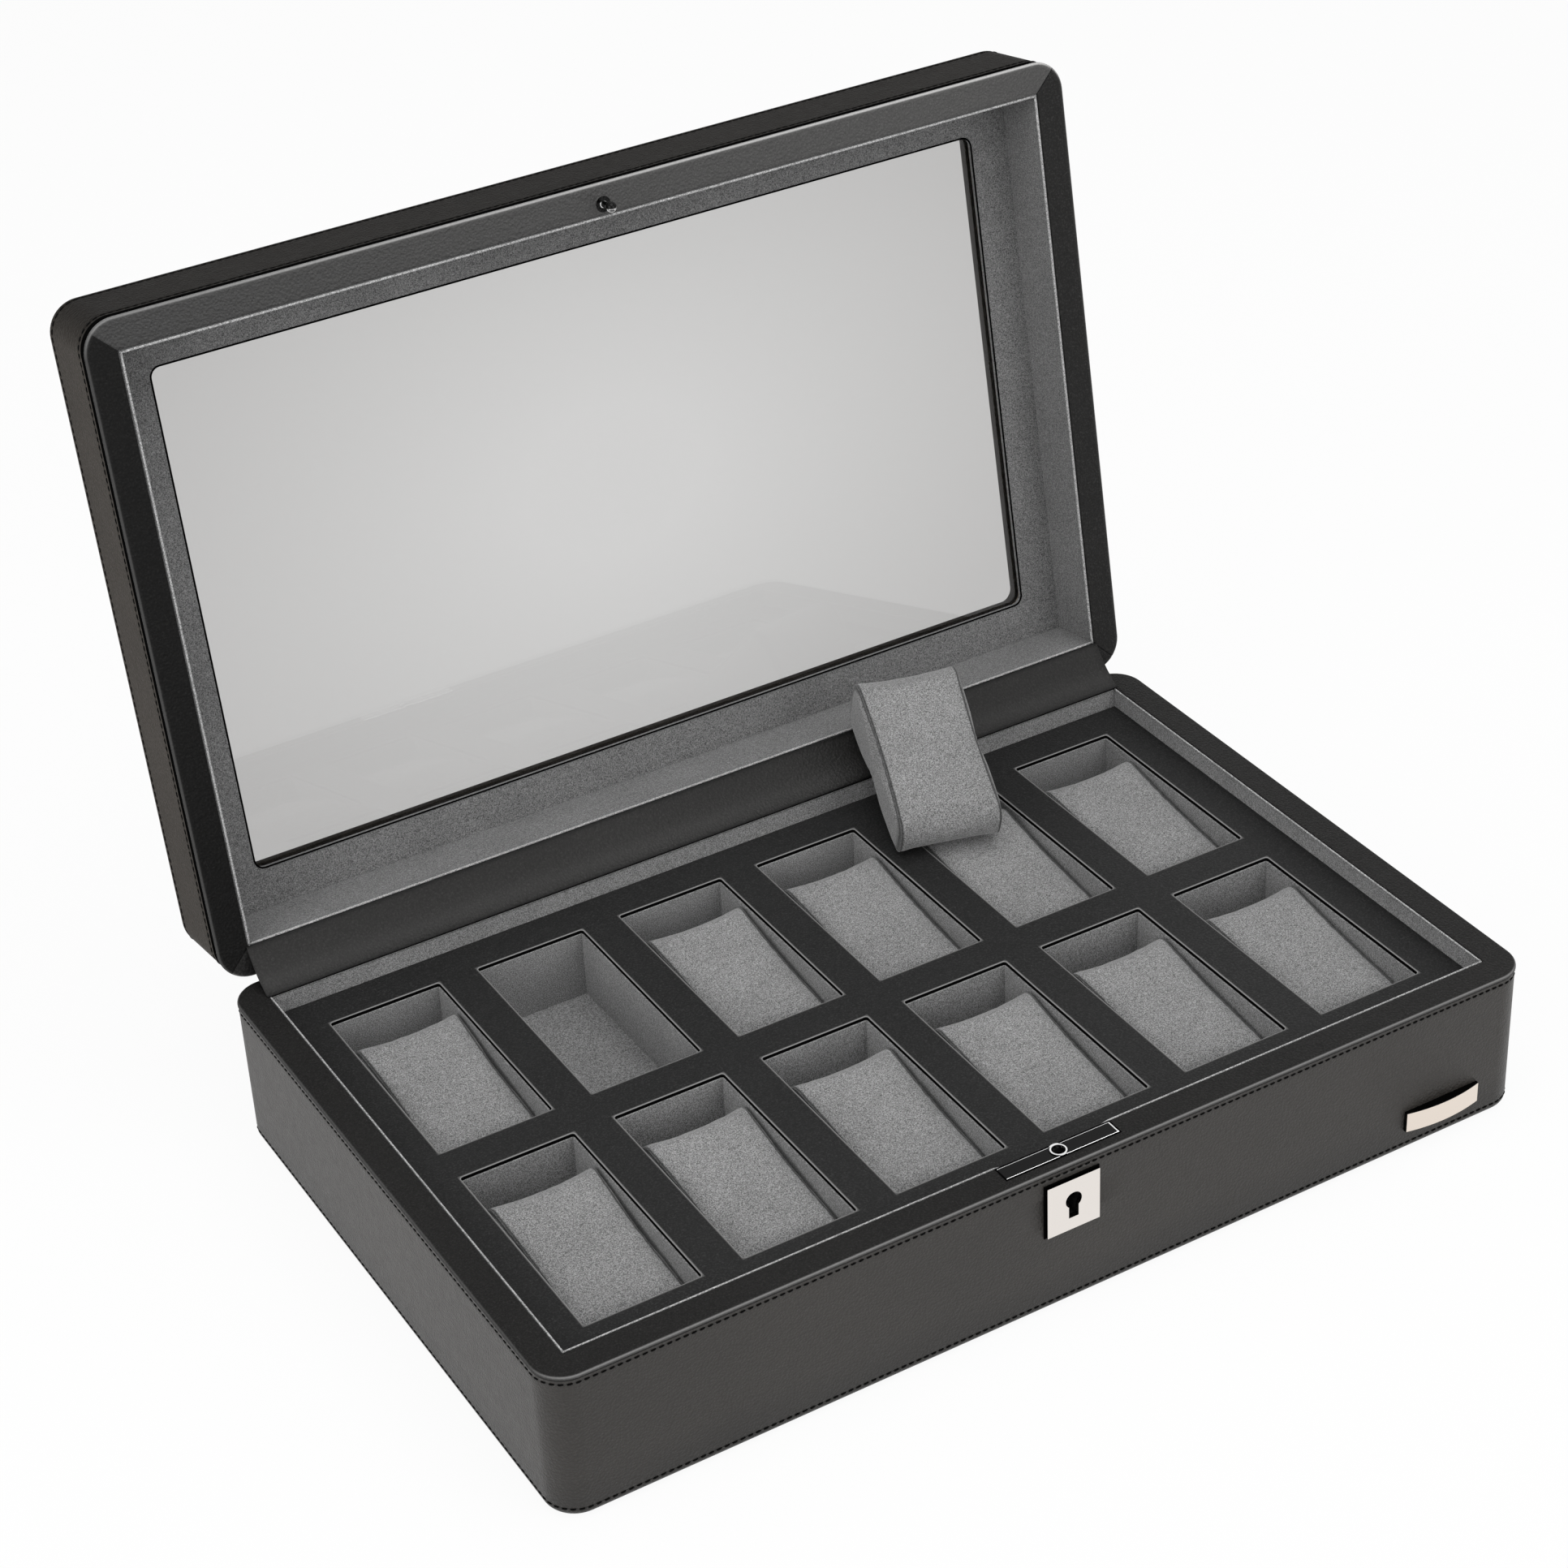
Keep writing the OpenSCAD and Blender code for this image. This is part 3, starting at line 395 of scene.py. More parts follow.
# near black board, painted shade: it is seen only through the keyhole
keyholeShadeBoard = plainFinish("keyholeShadeBoard", grey(0.006), grey(0.012), 60, (0.7, 0.9), shine=0.05)
blackFelt = plainFinish("blackFelt", grey(0.012), grey(0.03), 900, (0.9, 1.0), strength=0.5)
gasketRubber = plainFinish("gasketRubber", grey(0.008), grey(0.014), 400, (0.4, 0.55))
threadBlack = plainFinish("threadBlack", grey(0.002), grey(0.006), 1500, (0.7, 0.9), shine=0.02)
# black without gloss, painted shade in gaps, holes and lines round parts
shadowBlack = plainFinish("shadowBlack", grey(0.0015), grey(0.003), 900, (0.9, 1.0), shine=0.0)


def glassFinish(spec):
    # grey tint, painted paler towards the middle of the open lid as a painted pool of light
    f = Finish("clearGlass", **{"Transmission Weight": 1.0, "IOR": 1.46})
    scale = [1 / v for v in spec["spread"]]
    shift = [-c / v for c, v in zip(spec["middle"], spec["spread"])]
    place = f.add("Mapping", {"Vector": f.coords, "Scale": scale, "Location": shift})
    glow = f.add("TexGradient", {"Vector": place}, "Fac", gradient_type="SPHERICAL")
    edge, centre = grey(spec["edge"], 0.010), grey(spec["centre"], 0.006)
    f.feed("Base Color", f.ramp(glow, (0.0, edge), (0.8, centre)))
    f.roughness(f.noise(4, 2), *spec["rough"])
    return f.material


glassSpec = {"edge": 0.50, "centre": 0.63, "middle": (0.0, 0.16, 0.19), "spread": (0.20, 0.30, 0.15),
             "rough": (0.0, 0.01)}
clearGlass = glassFinish(glassSpec)
print("finishes made")


def makePiece(name, verts, faces, body, material, replaces=(), smooth=True, values=None,
              paint=None):
    # verts are in millimetres in the frame, in one grid or list; faces is one index array or a
    # list of them, and paint gives each face its place in the list of materials
    mesh = bpy.data.meshes.new(name)
    groups = faces if isinstance(faces, list) else [faces]
    polygons = [list(map(int, f)) for g in groups for f in g.tolist()]
    mesh.from_pydata((np.reshape(verts, (-1, 3)) / 1000).tolist(), [], polygons)
    mesh.update()
    mesh.polygons.foreach_set("use_smooth", np.full(len(mesh.polygons), smooth))
    for key, data in (values or {}).items():
        layer = mesh.attributes.new(key, "FLOAT", "POINT")
        layer.data.foreach_set("value", data.ravel().astype(np.float32))
    piece = bpy.data.objects.new(name, mesh)
    scene.collection.objects.link(piece)
    for m in material if isinstance(material, list) else [material]:
        mesh.materials.append(m)
    if paint is not None:
        mesh.polygons.foreach_set("material_index", paint.ravel().astype(np.int32))
    if body:
        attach(piece, body)
    if replaces:
        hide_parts(*replaces)
    return piece


def gridQuads(rows, cols, wrapRows=False, wrapCols=False, flip=False, start=0):
    # quads between neighbours of a rows by cols grid stored row after row
    r = np.arange(rows if wrapRows else rows - 1)
    c = np.arange(cols if wrapCols else cols - 1)
    r, c = np.meshgrid(r, c, indexing="ij")
    r2, c2 = (r + 1) % rows, (c + 1) % cols
    quads = np.stack([r * cols + c, r2 * cols + c, r2 * cols + c2, r * cols + c2], -1).reshape(-1, 4)
    return (quads[:, ::-1] if flip else quads) + start


def openLid(points):
    # turns points drawn for the closed lid about the hinge line to where the open lid stands
    y, z = turned(points[..., 1] - case["hingeY"], points[..., 2] - case["hingeZ"], -case["openAngle"])
    return np.stack([points[..., 0], case["hingeY"] + y, case["hingeZ"] + z], -1)


def ringPath(halfX, halfY, arcs, straights=1):
    # loop round a rectangle, anticlockwise from above: each corner stays in place while its
    # normal turns through the given angles, and each side carries a fixed normal along, in equal
    # steps or at the given shares of its length
    centre, normal = [], []
    corners = np.array([(1, 1), (-1, 1), (-1, -1), (1, -1)]) * (halfX, halfY)
    for k in range(4):
        turn = np.radians(90 * k + arcs)
        centre.append(np.repeat(corners[k][None], len(arcs), 0))
        normal.append(np.stack([np.cos(turn), np.sin(turn)], 1))
        t = np.linspace(0, 1, straights + 1)[1:-1] if isinstance(straights, int) else straights
        t = t[:, None]
        centre.append(corners[k] * (1 - t) + corners[(k + 1) % 4] * t)
        normal.append(np.repeat(normal[-1][-1:], len(t), 0))
    return np.concatenate(centre), np.concatenate(normal)


def sweepRing(centre, normal, profile):
    # point = corner centre + outward distance times normal, at the profile's height
    out = np.asarray(profile)[:, 0]
    up = np.asarray(profile)[:, 1]
    flat = centre[:, None, :] + out[None, :, None] * normal[:, None, :]
    return np.concatenate([flat, np.broadcast_to(up[None, :, None], flat.shape[:2] + (1,))], -1)


def bend(cx, cy, r, a0, a1, steps=6):
    # arc of a profile about a centre, from angle a0 to a1 in degrees
    t = np.radians(np.linspace(a0, a1, steps))
    return [(cx + r * math.cos(a), cy + r * math.sin(a)) for a in t]


# angles of a rounded corner, and the same with more of them beside the seam at 45 degrees
even = np.linspace(0, 90, 15)
besideSeam = np.array([0.3, 0.6, 1, 1.5, 2.2, 3.5, 6])
mitreArc = np.unique(np.concatenate([even, 45 - besideSeam, [45], 45 + besideSeam]))
coarse = np.linspace(0, 90, 7)


def mitreDistance(points):
    # distance of each point from the 45 degree line through its corner
    x = np.abs(points[..., 0]) - case["halfX"]
    y = np.abs(points[..., 1]) - case["halfY"]
    return np.abs(x - y) / math.sqrt(2)


def gapPaint(rows, cols):
    # the first three faces of a rim's or a wall's profile lie in the gap and take the second material, black
    # as painted shade
    paint = np.zeros((rows, cols))
    paint[:, :3] = 1
    return paint


# height of each rim's face for the closed box, and which way it faces
rimFace = {"base": (case["baseH"], 1), "lid": (case["lidFoot"], -1)}
rimSpec = {
    "fold": 1.0, "proud": 0.25, "thick": 1.0, "gap": 0.5, "gapDeep": 0.85, "steps": 60,
    "lip": 0.3, "lipDrop": 0.35, "flat": (1.6, 3.0, 5.0, 7.0, 9.0, 10.4),
    "hemR": 0.35, "hemDrop": 0.25, "hemTurn": -110, "hemIn": 1.6, "hemFoot": 0.55, "hemEnd": 1.9,
    "pinHole": (1.6, 7.0),
    "base": {"seam": (0.10, 0.10, 0.0, 0.0), "pale": (0.30, 0.08), "crest": 0.26},
    "lid": {"seam": (0.6, 0.6, 0.25, 1.0), "pale": (0.75, 0.22), "crest": 0.40},
    # dim, dimPower and dimLeft set painted shade on the open lid's rim: along the front towards its left
    # end, and on its left side
    "crestIn": 0.30, "crestFoot": 1.1, "dim": 0.70, "dimPower": 1.5, "dimLeft": 0.60,
    "seamW": 0.16, "seamDeep": 0.35, "seamFoot": 1.2, "seamFade": 0.6,
    "faces": 0.70,      # how far a normal must lean to one side of the box to count as facing it
}


def rimProfile():
    # section of the band, as outward distance and height: the shadow gap, a small lip, the flat
    # face, the folded edge and the hem below it
    s = rimSpec
    outer = case["wall"] + s["proud"]
    gap, deep, thick, lip, fold = s["gap"], s["gapDeep"], s["thick"], s["lip"], s["fold"]
    profile = [(0.0, -thick), (0.0, -deep), (gap, -deep), (gap, -s["lipDrop"])]
    profile += bend(gap + lip, -lip, lip, 180, 90, 4)
    profile += [(x, 0.0) for x in s["flat"]]
    profile += bend(outer - fold, -fold, fold, 90, 0, 9)
    profile += bend(outer - s["hemR"], -fold - s["hemDrop"], s["hemR"], 0, s["hemTurn"], 6)
    profile += [(outer - s["hemIn"], -fold - s["hemFoot"]), (outer - s["hemEnd"], -thick)]
    profile += [(x, -thick) for x in reversed(s["pinHole"])]
    return np.array(profile)


def openForPin(faces, paint, centre, normal, profile):
    # cuts the rectangle under the lock plate that the catch pin passes through, two path steps
    # long, and walls it between the top and the bottom of the band in the painted-shade black
    cols = len(profile)
    front = np.flatnonzero(normal[:, 1] < -0.999)
    mid = int(front[np.argmin(np.abs(centre[front, 0]))])
    first, last = mid - 1, mid + 1
    inner, outer = (int(np.flatnonzero((profile == (x, 0.0)).all(1))[0]) for x in rimSpec["pinHole"])
    footOuter, footInner = cols - 2, cols - 1
    row, col = faces[:, 0] // cols, faces[:, 0] % cols
    under = ((col >= inner) & (col < outer)) | (col == footOuter)
    cut = (row >= first) & (row < last) & under

    def corners(r, *columns):
        return [r * cols + c for c in columns]

    walls = [corners(first, outer, inner + 2, footInner, footOuter),
             corners(first, inner + 2, inner + 1, inner, footInner),
             corners(last, inner, inner + 1, inner + 2, footInner),
             corners(last, inner + 2, outer, footOuter, footInner)]
    for r in (first, mid):
        walls.append(corners(r + 1, outer) + corners(r, outer, footOuter) + corners(r + 1, footOuter))
        walls.append(corners(r, inner) + corners(r + 1, inner, footInner) + corners(r, footInner))
    return np.concatenate([faces[~cut], walls]), np.append(paint.ravel()[~cut], np.ones(len(walls)))


def makeRim(body):
    # flat leather band with a folded outer edge and a gap inside that is painted black as painted shade
    s, own = rimSpec, rimSpec[body]
    face, sense = rimFace[body]
    profile = rimProfile()
    centre, normal = ringPath(case["halfX"], case["halfY"], mitreArc, s["steps"])
    points = sweepRing(centre, normal, profile)
    # which corner each step of the path is nearest to, counted as ringPath counts them
    corner = np.array([[0, 1], [3, 2]])[(centre[:, 1] < 0).astype(int), (centre[:, 0] < 0).astype(int)]
    seam = np.exp(-(mitreDistance(points) / s["seamW"]) ** 2)
    seam *= np.array(own["seam"])[corner][:, None]
    seam *= np.clip((points[..., 2] + s["seamFoot"]) / s["seamFade"], 0, 1)
    points[..., 2] -= s["seamDeep"] * seam
    # the crest of the fold is pale, partly wear and partly a painted highlight, strongest at the front
    fromCrest = profile[:, 0] - case["wall"] - s["proud"] + s["crestIn"]
    crest = np.exp(-(fromCrest / own["crest"]) ** 2) * (profile[:, 1] > -s["crestFoot"])
    facing = np.clip(-normal[:, 1], 0, 1)[:, None]
    frontPale, sidePale = own["pale"]
    fold = crest[None] * (sidePale + (frontPale - sidePale) * facing) * (1 - seam)
    points[..., 2] = face + sense * points[..., 2]
    rows, cols = points.shape[:2]
    faces = gridQuads(rows, cols, True, True)
    paint = gapPaint(rows, cols)
    if body == "base":
        skins, shade = [leather["baseRim"], shadowBlack], seam
        faces, paint = openForPin(faces, paint, centre, normal, profile)
        faces = faces[:, ::-1]
    else:
        # the sides take a darker, duller copy of the rim's leather as painted shade, and painted shade
        # darkens the front towards its left end and the left side
        skins = [leather["lidRim"], shadowBlack, leather["lidRimShaded"]]
        toFront, toSide = normal[:, 1] < -s["faces"], normal[:, 0] < -s["faces"]
        paint[~(toFront & np.roll(toFront, -1)), 3:] = 2
        toLeft = np.clip(0.5 - points[..., 0] / case["halfX"] / 2, 0, 1) ** s["dimPower"]
        shade = np.maximum(seam, s["dim"] * toLeft * toFront[:, None])
        shade = np.maximum(shade, s["dimLeft"] * toSide[:, None])
        points = openLid(points)
    return makePiece(body + "RimBand", points, faces, body, skins, [body + "_rim"],
                     values={"fold": fold, "shade": shade}, paint=paint)


edgeSpec = {
    "base": {"radius": 0.34, "at": -0.12, "sink": 1.2},
    "lid": {"radius": 0.46, "at": -0.42, "sink": 0},
    "round": 10, "steps": 80, "lockClear": 0.3, "rearShift": 1.0,
}


def makeLiningEdge(body):
    # the suede's folded top edge, a thin roll that stands beside the rim's inner edge, in the paler edge
    # suede as a painted highlight
    s, own = edgeSpec, edgeSpec[body]
    face, sense = rimFace[body]
    turn = np.linspace(0, 2 * math.pi, s["round"], endpoint=False)
    profile = np.stack([own["at"] + own["radius"] * np.cos(turn), own["radius"] * (np.sin(turn) - 1)], 1)
    centre, normal = ringPath(case["halfX"], case["halfY"], coarse, s["steps"])
    points = sweepRing(centre, normal, profile)
    if body == "base":
        # it passes below the lock's top plate, and at the rear the hinge strip covers it
        lockEnd = nodeBox("lock_top_plate")[1][0] * 1000 - s["lockClear"]
        under = (points[..., 1] < 0) & (np.abs(points[..., 0]) < lockEnd)
        rear = (normal[:, 1:] > 0.99) * 1.0
        points[..., 1] += s["rearShift"] * rear
        points[..., 2] -= own["sink"] * (under + rear)
    points[..., 2] = face + sense * points[..., 2]
    points = openLid(points) if body == "lid" else points
    faces = gridQuads(*points.shape[:2], True, True, flip=body == "lid")
    return makePiece(body + "LiningEdge", points, faces, body, suede["edge"])


windowSpec = {"halfX": 167.0, "halfY": 94.0, "turnR": 4.0, "radius": 0.35, "round": 8, "steps": 8,
              "depth": 25.0}


def makeWindowShadowLine():
    # thin black ring where the suede frame meets the pane, a painted shadow line
    s = windowSpec
    turn = np.linspace(0, 2 * math.pi, s["round"], endpoint=False)
    profile = np.stack([s["turnR"] + s["radius"] * np.cos(turn), s["radius"] * np.sin(turn)], 1)
    centre, normal = ringPath(s["halfX"], s["halfY"], coarse, s["steps"])
    points = sweepRing(centre, normal, profile)
    points[..., 2] = case["lidFoot"] + s["depth"] - points[..., 2]
    faces = gridQuads(*points.shape[:2], True, True, flip=True)
    return makePiece("windowShadowLine", openLid(points), faces, "lid", shadowBlack)


makeRim("base")
makeRim("lid")
makeWindowShadowLine()
makeLiningEdge("base")
makeLiningEdge("lid")
print("rims made")

# leather on the walls of the base and of the lid
wallSpec = {
    "stitchTop": 3.4, "stitchFoot": 3.4, "grooveW": 0.50, "grooveDeep": 0.30,
    "grooveAt": (0, 0.22, 0.45, 0.7, 1.1), "rowStep": 2.0, "sidePoints": 17,
    "footR": 3.0, "topR": 4.0, "tuck": 16.0, "under": 1.2, "skin": 0.9,
    "baseGap": 0.65, "lidGap": 4.2, "gapDeep": 0.12, "gapIn": 0.6, "ease": 0.1, "begin": 0.35, "end": 0.2,
    "dark": 0.25, "footShade": 0.6, "footShadeH": 20.0, "keyhole": (3.9, 38.9, 50.9),
}
lidSpec = {"glassTop": 30.0, "windowX": 167.0, "windowY": 94.0, "windowR": 4.0, "pad": 8.0,
           "overlap": 1.5, "foot": 0.05, "skin": 1.0, "insideFoot": 2.0,
           "stitchRim": 7.4, "stitchEdge": 34.6, "frontShade": 0.80}


def gapProfile(rimSide, wallSide, sense):
    # the gap between the rim's band and the wall's leather, painted black as painted shade; on the lid the
    # gap runs a few millimetres up the wall as a painted-shade band
    s, w = wallSpec, case["wall"]
    ease, inGap = s["ease"] * sense, w - s["gapDeep"]
    return [(w - s["gapIn"], rimSide + ease), (inGap, rimSide - ease), (inGap, wallSide + ease),
            (w, wallSide - ease)]


def nearMarks(z, marks):
    # 1 at a line of stitches, where the leather is drawn in and takes painted shade, falling to 0 beside it
    return sum(np.exp(-((z - m) / wallSpec["grooveW"]) ** 2) for m in marks)


def grooved(outer, z0, z1, marks):
    # upright stretch of a profile with a stitching groove at each marked height
    s = wallSpec
    z = np.arange(z0, z1, s["rowStep"] * np.sign(z1 - z0))
    near = [m + d * side for m in marks for d in s["grooveAt"] for side in (-1, 1)]
    low, high = min(z0, z1), max(z0, z1)
    z = np.unique(np.concatenate([z, [z1], [n for n in near if low < n < high]]))
    z = z if z1 > z0 else z[::-1]
    return list(zip(outer - s["grooveDeep"] * nearMarks(z, marks), z))


def makeBaseWall():
    # from the rim's shadow gap down the wall, round its foot and a little way under the box, then
    # back and up the inside as a thin skin, with an opening for the key
    s, w = wallSpec, case["wall"]
    top = case["baseH"] - rimSpec["thick"]
    marks = [case["baseH"] - s["stitchTop"], s["under"] + s["stitchFoot"]]
    wallTop = top - s["baseGap"]
    halfHole, holeFoot, holeTop = s["keyhole"]
    wall = grooved(w, wallTop - s["begin"], s["under"] + s["footR"] + s["end"], marks)
    profile = gapProfile(top, wallTop, 1)
    profile += [p for p in wall if p[1] > holeTop] + [(w, holeTop), (w, holeFoot)]
    profile += [p for p in wall if p[1] < holeFoot]
    profile += bend(w - s["footR"], s["under"] + s["footR"], s["footR"], 0, -90, 9)
    outerRows = len(profile)
    profile += [(w - s["tuck"], s["under"]), (w - s["tuck"], s["under"] + s["skin"])]
    profile += [(w - s["footR"], s["under"] + s["skin"]), (w - s["skin"], s["under"] + s["footR"])]
    profile += [(w - s["skin"], holeFoot), (w - s["skin"], holeTop)]
    # the points along the straight sides, with one at each side of the keyhole instead of the middle
    side = np.linspace(0, 1, s["sidePoints"])[1:-1]
    beside = 0.5 + np.array([-1, 1]) * halfHole / case["halfX"] / 2
    side = np.sort(np.concatenate([side[side != 0.5], beside]))
    centre, normal = ringPath(case["halfX"], case["halfY"], even, side)
    points = sweepRing(centre, normal, profile)
    height = np.array(profile)[:, 1]
    # painted shade: darker towards the foot of the wall, and along the stitching grooves
    nearFoot = np.clip(1 - height / s["footShadeH"], 0, 1)
    shade = np.maximum(s["dark"] * nearMarks(height, marks), s["footShade"] * nearFoot)
    shade[outerRows:] = 0
    rows, cols = points.shape[:2]
    faces = gridQuads(rows, cols, True, True, flip=True)
    paint = gapPaint(rows, cols).ravel()
    # leave out the skin's outer and inner quad at the keyhole and line the opening's four sides with the
    # painted-shade black
    left = int(np.nonzero((centre[:, 1] < 0) & (np.abs(centre[:, 0] + halfHole) < 0.01))[0][0])
    a, b = (left * cols + k for k in np.nonzero(height == holeTop)[0])
    c, d = (left * cols + k for k in np.nonzero(height == holeFoot)[0])
    right = cols
    mid = points.reshape(-1, 3)[faces].mean(1)
    fromMiddle = np.abs(mid[:, ::2] - (0, (holeTop + holeFoot) / 2))
    hole = (mid[:, 1] < 0) & (fromMiddle < 0.1).all(1)
    lining = np.array([[a, b, b + right, a + right], [c, c + right, d + right, d],
                       [a, c, d, b], [a + right, b + right, d + right, c + right]])
    return makePiece("baseWallLeather", points, [faces[~hole], lining], "base",
                     [leather["base"], shadowBlack], ["base_leather_wrap"],
                     values={"shade": np.tile(shade, rows)},
                     paint=np.concatenate([paint[~hole], np.ones(4)]))


def makeLidWall():
    # from the rim up the wall, over the rounded edge, across the top and down the padded edge
    s, w, g = wallSpec, case["wall"], lidSpec
    high, pad, windowR, topR = case["lidH"], g["pad"], g["windowR"], s["topR"]
    marks = [g["stitchRim"], g["stitchEdge"]]
    wallFoot = rimSpec["thick"] + s["lidGap"]
    outerPart = gapProfile(rimSpec["thick"], wallFoot, -1)
    outerPart += grooved(w, wallFoot + s["begin"], high - topR - s["end"], marks)
    outerPart += bend(w - topR, high - topR, topR, 0, 90, 10)
    innerPart = [(windowR + pad + g["overlap"], high)]
    innerPart += bend(windowR + pad, high - pad, pad, 90, 180, 12)
    foot = g["glassTop"] + g["foot"]
    innerPart += [(windowR, foot), (windowR + g["skin"], foot)]
    innerPart += bend(windowR + pad, high - pad, pad - g["skin"], 180, 90, 8)
    inside = w - g["skin"]
    lastPart = [(w - topR, high - g["skin"]), (inside, high - topR), (inside, g["insideFoot"])]
    c1, n1 = ringPath(case["halfX"], case["halfY"], even, 8)
    c2, n2 = ringPath(g["windowX"], g["windowY"], even, 8)
    points = np.concatenate([sweepRing(c1, n1, outerPart), sweepRing(c2, n2, innerPart),
                             sweepRing(c1, n1, lastPart)], 1)
    points[..., 2] += case["lidFoot"]
    rows, cols = points.shape[:2]
    # painted shade makes the front wall, which faces up on the open lid, darker than the sides, and darkens
    # the stitching grooves
    height = np.array(outerPart)[:, 1]
    front = g["frontShade"] * np.clip(-n1[:, 1:], 0, 1)
    shade = np.zeros((rows, cols))
    shade[:, :len(height)] = np.maximum(s["dark"] * nearMarks(height, marks), front)
    faces = gridQuads(rows, cols, True, True)
    paint = gapPaint(rows, cols)
    return makePiece("lidWallLeather", openLid(points), faces, "lid",
                     [leather["lid"], shadowBlack], ["lid_leather_wrap"],
                     values={"shade": shade}, paint=paint)


makeBaseWall()
makeLidWall()
print("wall leather made")

stitchSpec = {
    "pitch": 3.0, "length": 2.0, "thick": 0.32, "sink": 0.12, "tilt": 7.0, "sides": 6, "blunt": 0.6,
    "baseWide": 0.36, "lidWide": 0.8, "steps": 200,
}


def makeStitches(name, body, height):
    # each stitch is a small flat spindle laid along the loop and tilted a little in the wall
    s = stitchSpec
    centre, normal = ringPath(case["halfX"], case["halfY"], even, s["steps"])
    loop = centre + case["wall"] * normal
    loop = np.concatenate([loop, loop[:1]])
    lengths = np.concatenate([[0], np.cumsum(np.linalg.norm(np.diff(loop, axis=0), axis=1))])
    count = int(lengths[-1] / s["pitch"])
    at = (np.arange(count) + 0.5) * lengths[-1] / count
    turned = np.concatenate([normal, normal[:1]])
    xy = np.stack([np.interp(at, lengths, loop[:, k]) for k in (0, 1)], 1)
    n2 = np.stack([np.interp(at, lengths, turned[:, k]) for k in (0, 1)], 1)
    n2 /= np.linalg.norm(n2, axis=1, keepdims=True)
    n = np.concatenate([n2, np.zeros((count, 1))], 1)
    up = np.array([0, 0, 1.0])
    t = np.cross(up, n)
    tilt = math.radians(s["tilt"])
    along = t * math.cos(tilt) + up * math.sin(tilt)
    across = np.cross(n, along)
    sides = s["sides"]
    u = np.linspace(0, math.pi, sides)[:, None]
    v = np.linspace(0, 2 * math.pi, sides, endpoint=False)[None, :]
    swell = np.sin(u) ** s["blunt"]
    shape = np.stack([-np.cos(u) * s["length"] / 2 + 0 * v, swell * np.cos(v) * s["thick"],
                      swell * np.sin(v) * s[body + "Wide"]], -1).reshape(-1, 3)
    place = np.concatenate([xy, np.full((count, 1), height)], 1) - n * s["sink"]
    points = (place[:, None] + shape[None, :, 0:1] * along[:, None] + shape[None, :, 1:2] * n[:, None]
              + shape[None, :, 2:3] * across[:, None])
    one = gridQuads(sides, sides, False, True)
    faces = (one[None] + (np.arange(count) * len(shape))[:, None, None]).reshape(-1, 4)
    points = openLid(points) if body == "lid" else points
    return makePiece(name, points, faces, body, threadBlack)


makeStitches("baseStitchTop", "base", case["baseH"] - wallSpec["stitchTop"])
makeStitches("baseStitchFoot", "base", wallSpec["under"] + wallSpec["stitchFoot"])
makeStitches("lidStitchRim", "lid", case["lidFoot"] + lidSpec["stitchRim"])
makeStitches("lidStitchEdge", "lid", case["lidFoot"] + lidSpec["stitchEdge"])
print("stitching made")

# dark frames round the lock's plates, painted shade where they meet the leather and the rim; margin is how
# far a frame stands out past its plate and how far it reaches in below it
shadowFrameSpec = {"escutcheon": {"axis": 1, "margin": 0.6, "thick": 0.35, "side": -1, "plane": -126.0},
            "lock_top_plate": {"axis": 2, "margin": 0.35, "thick": 0.12, "side": 1, "plane": 62.0}}


def makeShadowFrame(node, spec):
    # a thin black frame a little wider than the plate on it, open in the middle: painted shade round the
    # plate's edge
    low, high = (b * 1000 for b in nodeBox(node))
    a, b = [k for k in range(3) if k != spec["axis"]]
    mid, half = (low + high) / 2, (high - low) / 2
    square = np.array([(-1, -1), (1, -1), (1, 1), (-1, 1)])
    out = half[[a, b]] + spec["margin"]
    inner = half[[a, b]] - spec["margin"]
    points = np.zeros((4, 4, 3))
    for column, (size, up) in enumerate(((inner, 0), (out, 0), (out, 1), (inner, 1))):
        points[:, column, a] = mid[a] + square[:, 0] * size[0]
        points[:, column, b] = mid[b] + square[:, 1] * size[1]
        points[:, column, spec["axis"]] = spec["plane"] + spec["side"] * spec["thick"] * up
    return makePiece(node + "ShadowFrame", points, gridQuads(4, 4, True, True), "base",
                     shadowBlack, smooth=False)


for framedNode, frameSpec in shadowFrameSpec.items():
    makeShadowFrame(framedNode, frameSpec)
print("shadowFrames made")

plateSpec = {"halfX": 187.4, "halfY": 113.9, "cornerR": 1.0, "edgeR": 0.5, "ring": 0.9,
             "paintedHighlight": (0.20, 0.45, 0.30)}


